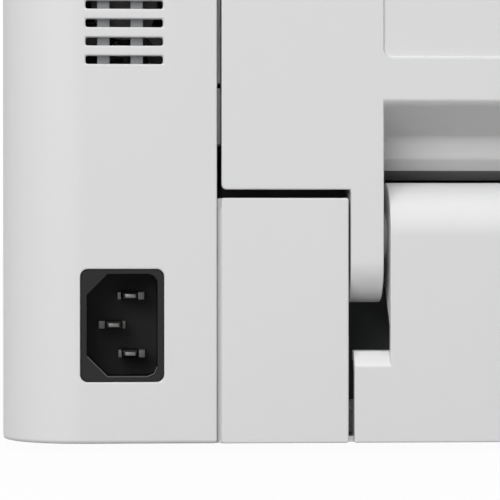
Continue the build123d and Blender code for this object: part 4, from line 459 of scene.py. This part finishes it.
inlet_plastic = plastic("inlet_plastic", (0.016, 0.016, 0.0165, 1), 0.5, 0.00001)
inlet_plastic.node_tree.nodes["Principled BSDF"].inputs["Specular IOR Level"].default_value = 0.22
dressed("power_inlet", "black_plastic", inlet_plastic, 0.0002)
# Lighter grey of the glint marks and the lip line: painted highlight.
inlet_highlight_grey = plastic("inlet_highlight_grey", (0.085, 0.085, 0.088, 1), 0.5, 0.00001)
mesh = bmesh.new()
for x, z, width in GLINT_MARKS:
    block(mesh, (x - width / 2, GLINT_Y[0], z - GLINT_RISE),
          (x + width / 2, GLINT_Y[1], z + GLINT_RISE), 0.15)
piece(mesh, "inlet_glint_marks", "root", "black_plastic", inlet_highlight_grey)
# Painted highlight line along the cavity's lower lip.
mesh = bmesh.new()
for start, end in zip(LIP_CORNERS, LIP_CORNERS[1:]):
    rod(mesh, (start[0], LIP_Y, start[1]), (end[0], LIP_Y, end[1]), LIP_R, 8)
piece(mesh, "inlet_lip_highlight", "root", "black_plastic", inlet_highlight_grey)

# Gears: moulded in natural acetal, which looks a little waxy, on the drive side of the machine.
# Each sits on a shaft or a pin of its own.
gear_nylon = plastic("gear_nylon", (0.74, 0.73, 0.68, 1), 0.38, 0.000005)
for node in ("main_gear", "drum_gear", "fuser_gear", "motor_pinion"):
    dressed(node, "gear_nylon", gear_nylon, 0)

# Feet: four dark, dead matt rubber pads that carry the machine, pressed into the bottom pan
# from below.
dark_rubber = plastic("dark_rubber", (0.035, 0.035, 0.036, 1), 0.85, 0.00003, 1400.0)
dressed("rubber_feet", "dark_rubber", dark_rubber, 0.0003)

# Zinc-coated steel: the bottom pan, the two side frames, the drive bracket, the lift plate and
# the motor's can, pressed from sheet with a faint rolled grain.
ZINC = (0.60, 0.61, 0.62, 1)
DRAWN_PER_METRE = 120.0


def metal(name, colour, roughness, stretch=(1.0, 30.0, 1.0)):
    """Material of bare or plated metal, with a grain drawn out along one axis."""
    material = bpy.data.materials.new(name)
    material.use_nodes = True
    tree = material.node_tree
    shader = tree.nodes["Principled BSDF"]
    shader.inputs["Base Color"].default_value = colour
    shader.inputs["Metallic"].default_value = 1.0
    place = tree.nodes.new("ShaderNodeTexCoord")
    drawn = tree.nodes.new("ShaderNodeMapping")
    drawn.inputs["Scale"].default_value = stretch
    grain = tree.nodes.new("ShaderNodeTexNoise")
    grain.inputs["Scale"].default_value = DRAWN_PER_METRE
    grain.inputs["Detail"].default_value = 4.0
    polish = tree.nodes.new("ShaderNodeMapRange")
    polish.inputs["To Min"].default_value = roughness - 0.08
    polish.inputs["To Max"].default_value = roughness + 0.12
    tree.links.new(place.outputs["Object"], drawn.inputs["Vector"])
    tree.links.new(drawn.outputs["Vector"], grain.inputs["Vector"])
    tree.links.new(grain.outputs[0], polish.inputs["Value"])
    tree.links.new(polish.outputs[0], shader.inputs["Roughness"])
    return material


zinc_steel = metal("zinc_steel", ZINC, 0.36)
for node in ("base_pan", "right_frame", "left_frame", "drive_bracket", "lift_plate", "drive_motor"):
    dressed(node, "zinc_steel", zinc_steel, 0.0002)

# Contacts of the inlet: nickel-plated brass blades, held in the back of the socket. Their metal
# is coloured near black, a painted dark reflection on the blades' faces. The bright strip on each
# tip is a guess, a painted highlight that stands for the thin bright edge in the photograph.
CONTACTS = ((173.8, TOP_Z, 194.5), (177.8, EARTH_Z, 196.0), (173.8, LOW_Z, 194.5))
TIP_HIGHLIGHT_HALF = 1.2

# Near-black colour of the blades: painted dark reflection.
contact_metal = metal("contact_metal", (0.045, 0.044, 0.042, 1), 0.45)
dressed("inlet_pins", "contact_metal", contact_metal, 0.0002)
# Brighter strip on each tip: painted highlight.
painted_tip_highlight = metal("painted_tip_highlight", (0.17, 0.168, 0.16, 1), 0.40)
mesh = bmesh.new()
for x, z, tip in CONTACTS:
    block(mesh, (x - TIP_HIGHLIGHT_HALF, tip - 0.4, z - 0.42), (x + TIP_HIGHLIGHT_HALF, tip + 0.05, z + 0.38), 0.05)
piece(mesh, "contact_tip_highlights", "root", "contact_metal", painted_tip_highlight)

# Rollers: ground steel shafts. The drum is coated in blue-green, the heat roller in a dark
# release layer, and the others carry rubber or foam, which their wider parts show.
SHAFT_MM = 3.4

roller_metal = metal("roller_metal", (0.66, 0.66, 0.67, 1), 0.28, (30.0, 1.0, 1.0))
drum_coating = plastic("drum_coating", (0.06, 0.21, 0.19, 1), 0.18, 0.000002, coat=0.5)
release_coat = plastic("release_coat", (0.10, 0.055, 0.035, 1), 0.25, 0.000002, coat=0.3)
roller_foam = plastic("roller_foam", (0.060, 0.060, 0.062, 1), 0.95, 0.00008, 900.0)
feed_rubber = plastic("feed_rubber", (0.21, 0.22, 0.235, 1), 0.8, 0.00004, 1500.0)
for node, cover in (("photo_drum", drum_coating), ("heat_roller", release_coat),
                    ("transfer_roller", roller_foam), ("pressure_roller", feed_rubber),
                    ("pickup_roller", feed_rubber), ("exit_roller", feed_rubber),
                    ("adf_roller", feed_rubber)):
    low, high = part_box(node)
    along = max(range(3), key=lambda i: high[i] - low[i])
    middle = (Vector(low) + Vector(high)) / 2

    def on_cover(face):
        """1 where a face stands off the shaft, 0 on the shaft itself."""
        arms = [v.co - middle for v in face.verts]
        for arm in arms:
            arm[along] = 0
        return int(max(arm.length for arm in arms) * 1000 > SHAFT_MM)

    painted(node, "dark_rubber", 0.0003, on_cover, roller_metal, cover)
mirror_metal = metal("mirror_metal", (0.88, 0.88, 0.88, 1), 0.10)
dressed("polygon_mirror", "mirror_metal", mirror_metal, 0.0001)

# Circuit boards: green solder mask over glass fibre. The main board carries black chips and the
# tinned shells of its ports, the power supply a taped coil, sleeved capacitors and a heat sink.
CHIP_X = -188.0
SHELL_FRONT_Y = 181.5
STANDOFF = 17.5
COIL_END_Y = 94
COIL_TOP_Z = 62
SINK_FOOT_Z = 68
board_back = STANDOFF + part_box("power_supply_board")[0][0] * 1000

circuit_board = plastic("circuit_board", (0.045, 0.16, 0.075, 1), 0.32, 0.00003, 900.0, 0.3)
chip_black = plastic("chip_black", (0.025, 0.025, 0.027, 1), 0.45, 0.00001)
tinned_steel = metal("tinned_steel", (0.62, 0.62, 0.61, 1), 0.30)
coil_tape = plastic("coil_tape", (0.62, 0.47, 0.10, 1), 0.4, 0.00001)
sink_metal = metal("sink_metal", (0.56, 0.57, 0.58, 1), 0.35)


def reach(face, axis):
    """Lowest and highest place of a face along an axis, in millimetres."""
    places = [v.co[axis] * 1000 for v in face.verts]
    return min(places), max(places)


def main_board_part(face):
    """0 bare board, 1 chip, 2 shell of a port."""
    if reach(face, 0)[1] <= CHIP_X:
        return 0
    return 2 if reach(face, 1)[0] > SHELL_FRONT_Y else 1


painted("mainboard", "circuit_board", 0, main_board_part, circuit_board, chip_black, tinned_steel)


def supply_part(face):
    """0 bare board, 1 capacitor, 2 coil, 3 heat sink or standoff."""
    x = reach(face, 0)
    y = sum(reach(face, 1)) / 2
    z = sum(reach(face, 2)) / 2
    if x[0] < board_back - 0.1:
        return 3
    if x[1] < board_back + 2.0:
        return 0
    if y < COIL_END_Y and z < COIL_TOP_Z:
        return 2
    return 3 if y < COIL_END_Y and z > SINK_FOOT_Z else 1


painted("power_supply_board", "circuit_board", 0, supply_part, circuit_board, chip_black, coil_tape,
        sink_metal)

# Contacts of the data ports: a black tongue in each of the two serial ports, with four gilt
# strips under the lower one, and eight sprung wires and two lamps in the network port.
PORT_X = -177.0
STRIP_PITCH = 2.4
WIRE_PITCH = 1.02
LAMP_OFFSET = 5.4

gilt = metal("gilt_contact", (0.83, 0.62, 0.28, 1), 0.25)
mesh = bmesh.new()
block(mesh, (PORT_X - 5.8, 184.0, 39.6), (PORT_X + 5.8, 196.5, 41.6), 0.2)
block(mesh, (PORT_X - 2.8, 184.0, 60.6), (PORT_X + 2.8, 196.0, 63.6), 0.3)
piece(mesh, "port_tongues", "root", "black_plastic", chip_black)
mesh = bmesh.new()
for i in range(4):
    x = PORT_X + STRIP_PITCH * i
    block(mesh, (x - 4.1, 185.0, 39.4), (x - 3.1, 195.5, 39.7))
for i in range(8):
    x = PORT_X + WIRE_PITCH * (i - 3.5)
    block(mesh, (x - 0.22, 184.5, 91.2), (x + 0.22, 193.5, 91.5))
piece(mesh, "port_contacts", "root", "zinc_steel", gilt)
lamp_green = plastic("lamp_green", (0.10, 0.42, 0.12, 1), 0.2, 0.0)
lamp_amber = plastic("lamp_amber", (0.72, 0.35, 0.04, 1), 0.2, 0.0)
for name, x, finish in (("network_lamp_left", PORT_X - LAMP_OFFSET, lamp_green),
                        ("network_lamp_right", PORT_X + LAMP_OFFSET, lamp_amber)):
    mesh = bmesh.new()
    block(mesh, (x - 1.3, 183.9, 81.9), (x + 1.3, 198.6, 83.9), 0.2)
    piece(mesh, name, "root", "black_plastic", finish)

# Scanner glass: two panes of clear float glass with a faint green edge, bonded under the
# scanner's top frame.
scanner_glass = bpy.data.materials.new("scanner_glass")
scanner_glass.use_nodes = True
shader = scanner_glass.node_tree.nodes["Principled BSDF"]
shader.inputs["Base Color"].default_value = (0.90, 0.96, 0.94, 1)
shader.inputs["Roughness"].default_value = 0.02
shader.inputs["Transmission Weight"].default_value = 1.0
shader.inputs["IOR"].default_value = 1.5
dressed("platen_glass", "scanner_glass", scanner_glass, 0)

# Platen pad: a white foam-backed sheet, smooth and matt, that presses the original on the glass.
# It is taped under the lid.
pad_white = plastic("pad_white", (0.84, 0.84, 0.83, 1), 0.6, 0.00001)
dressed("platen_pad", "pad_white", pad_white, 0.0005)

# Control panel: a gloss-black moulding that tilts on the machine's front, with the touch screen
# set flush in it and two light keys that press in.
panel_black = plastic("panel_black", (0.018, 0.018, 0.02, 1), 0.22, 0.000003, coat=0.3)
dressed("control_panel", "panel_black", panel_black, 0.0006)
screen_glass = plastic("screen_glass", (0.008, 0.008, 0.010, 1), 0.08, 0.0, coat=0.6)
dressed("touch_screen", "screen_glass", screen_glass, 0.0001)
key_light = plastic("key_light", (0.52, 0.54, 0.56, 1), 0.3, 0.000004)
for node in ("power_key", "start_key"):
    dressed(node, "key_light", key_light, 0.0003)

# Signs on the keys and the ready lamp: a ring and bar and a pointed start sign, printed thick on
# the key tops, and a green lens pressed into the panel beside the power key.
SIGN_T = 0.00012
RING_R = 2.6e-3
RING_IN = 2.0e-3
RING_GAP = radians(35)


def key_top(node):
    """Middle and outward direction of the flat top of a key."""
    mesh = merged(node)
    top = max((f for f in mesh.faces if f.normal.y < -0.5), key=lambda f: f.calc_area())
    middle = sum((v.co for v in top.verts), Vector()) / len(top.verts)
    outward = top.normal.copy()
    mesh.free()
    return middle, outward


def set_on(mesh, middle, outward):
    """Moves signs drawn round the origin, with Y up, on to a key top."""
    up = (Vector((0, 0, 1)) - outward * outward.z).normalized()
    turn = Matrix((up.cross(outward), up, outward)).transposed().to_4x4()
    bmesh.ops.transform(mesh, matrix=Matrix.Translation(middle) @ turn, verts=mesh.verts)


def thicken(mesh):
    """Gives a flat sign its print thickness."""
    made = bmesh.ops.extrude_face_region(mesh, geom=list(mesh.faces))["geom"]
    tops = [v for v in made if isinstance(v, bmesh.types.BMVert)]
    bmesh.ops.translate(mesh, vec=(0, 0, SIGN_T), verts=tops)
    bmesh.ops.recalc_face_normals(mesh, faces=mesh.faces)


sign_ink = plastic("sign_ink", (0.03, 0.03, 0.035, 1), 0.5, 0.0)
mesh = bmesh.new()
start = mesh.verts.new((RING_R * sin(RING_GAP), RING_R * cos(RING_GAP), 0))
inner = mesh.verts.new((RING_IN * sin(RING_GAP), RING_IN * cos(RING_GAP), 0))
edge = mesh.edges.new((start, inner))
bmesh.ops.spin(mesh, geom=[start, inner, edge], cent=(0, 0, 0), axis=(0, 0, -1), dvec=(0, 0, 0),
               angle=2 * (pi - RING_GAP), steps=40, use_merge=False)
bmesh.ops.create_grid(mesh, x_segments=1, y_segments=1, size=0.5,
                      matrix=Matrix.Translation((0, 2.1e-3, 0)) @ Matrix.Diagonal((0.6e-3, 2.2e-3, 1, 1)))
thicken(mesh)
set_on(mesh, *key_top("power_key"))
piece(mesh, "power_sign", "power_key_body", "panel_black", sign_ink)
mesh = bmesh.new()
bmesh.ops.create_circle(mesh, cap_ends=True, segments=3, radius=2.6e-3,
                        matrix=Matrix.Rotation(radians(-90), 4, "Z"))
thicken(mesh)
set_on(mesh, *key_top("start_key"))
piece(mesh, "start_sign", "start_key_body", "panel_black", sign_ink)
middle, outward = key_top("power_key")
mesh = bmesh.new()
bmesh.ops.create_uvsphere(mesh, u_segments=24, v_segments=12, radius=1.3e-3,
                          matrix=Matrix.Diagonal((1, 1, 0.45, 1)))
bmesh.ops.translate(mesh, verts=mesh.verts, vec=(0, 11.5e-3, -1.35e-3))
set_on(mesh, middle, outward)
piece(mesh, "ready_lamp", "panel_body", "key_light", lamp_green)

# Scan carriage's light: a long white plastic bar let into the carriage's top, under the glass.
# It lies along the scanned line.
BAR_X = (3, 9)
BAR_MARGIN = 12
BAR_DEEP = 0.6
BAR_PROUD = 0.35

low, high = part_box("scan_carriage")
mesh = bmesh.new()
block(mesh, (low[0] * 1000 + BAR_X[0], low[1] * 1000 + BAR_MARGIN, high[2] * 1000 - BAR_DEEP),
      (low[0] * 1000 + BAR_X[1], high[1] * 1000 - BAR_MARGIN, high[2] * 1000 + BAR_PROUD), 0.2)
bar_white = plastic("bar_white", (0.82, 0.84, 0.84, 1), 0.25, 0.0)
piece(mesh, "carriage_light", "carriage_body", "pad_white", bar_white)
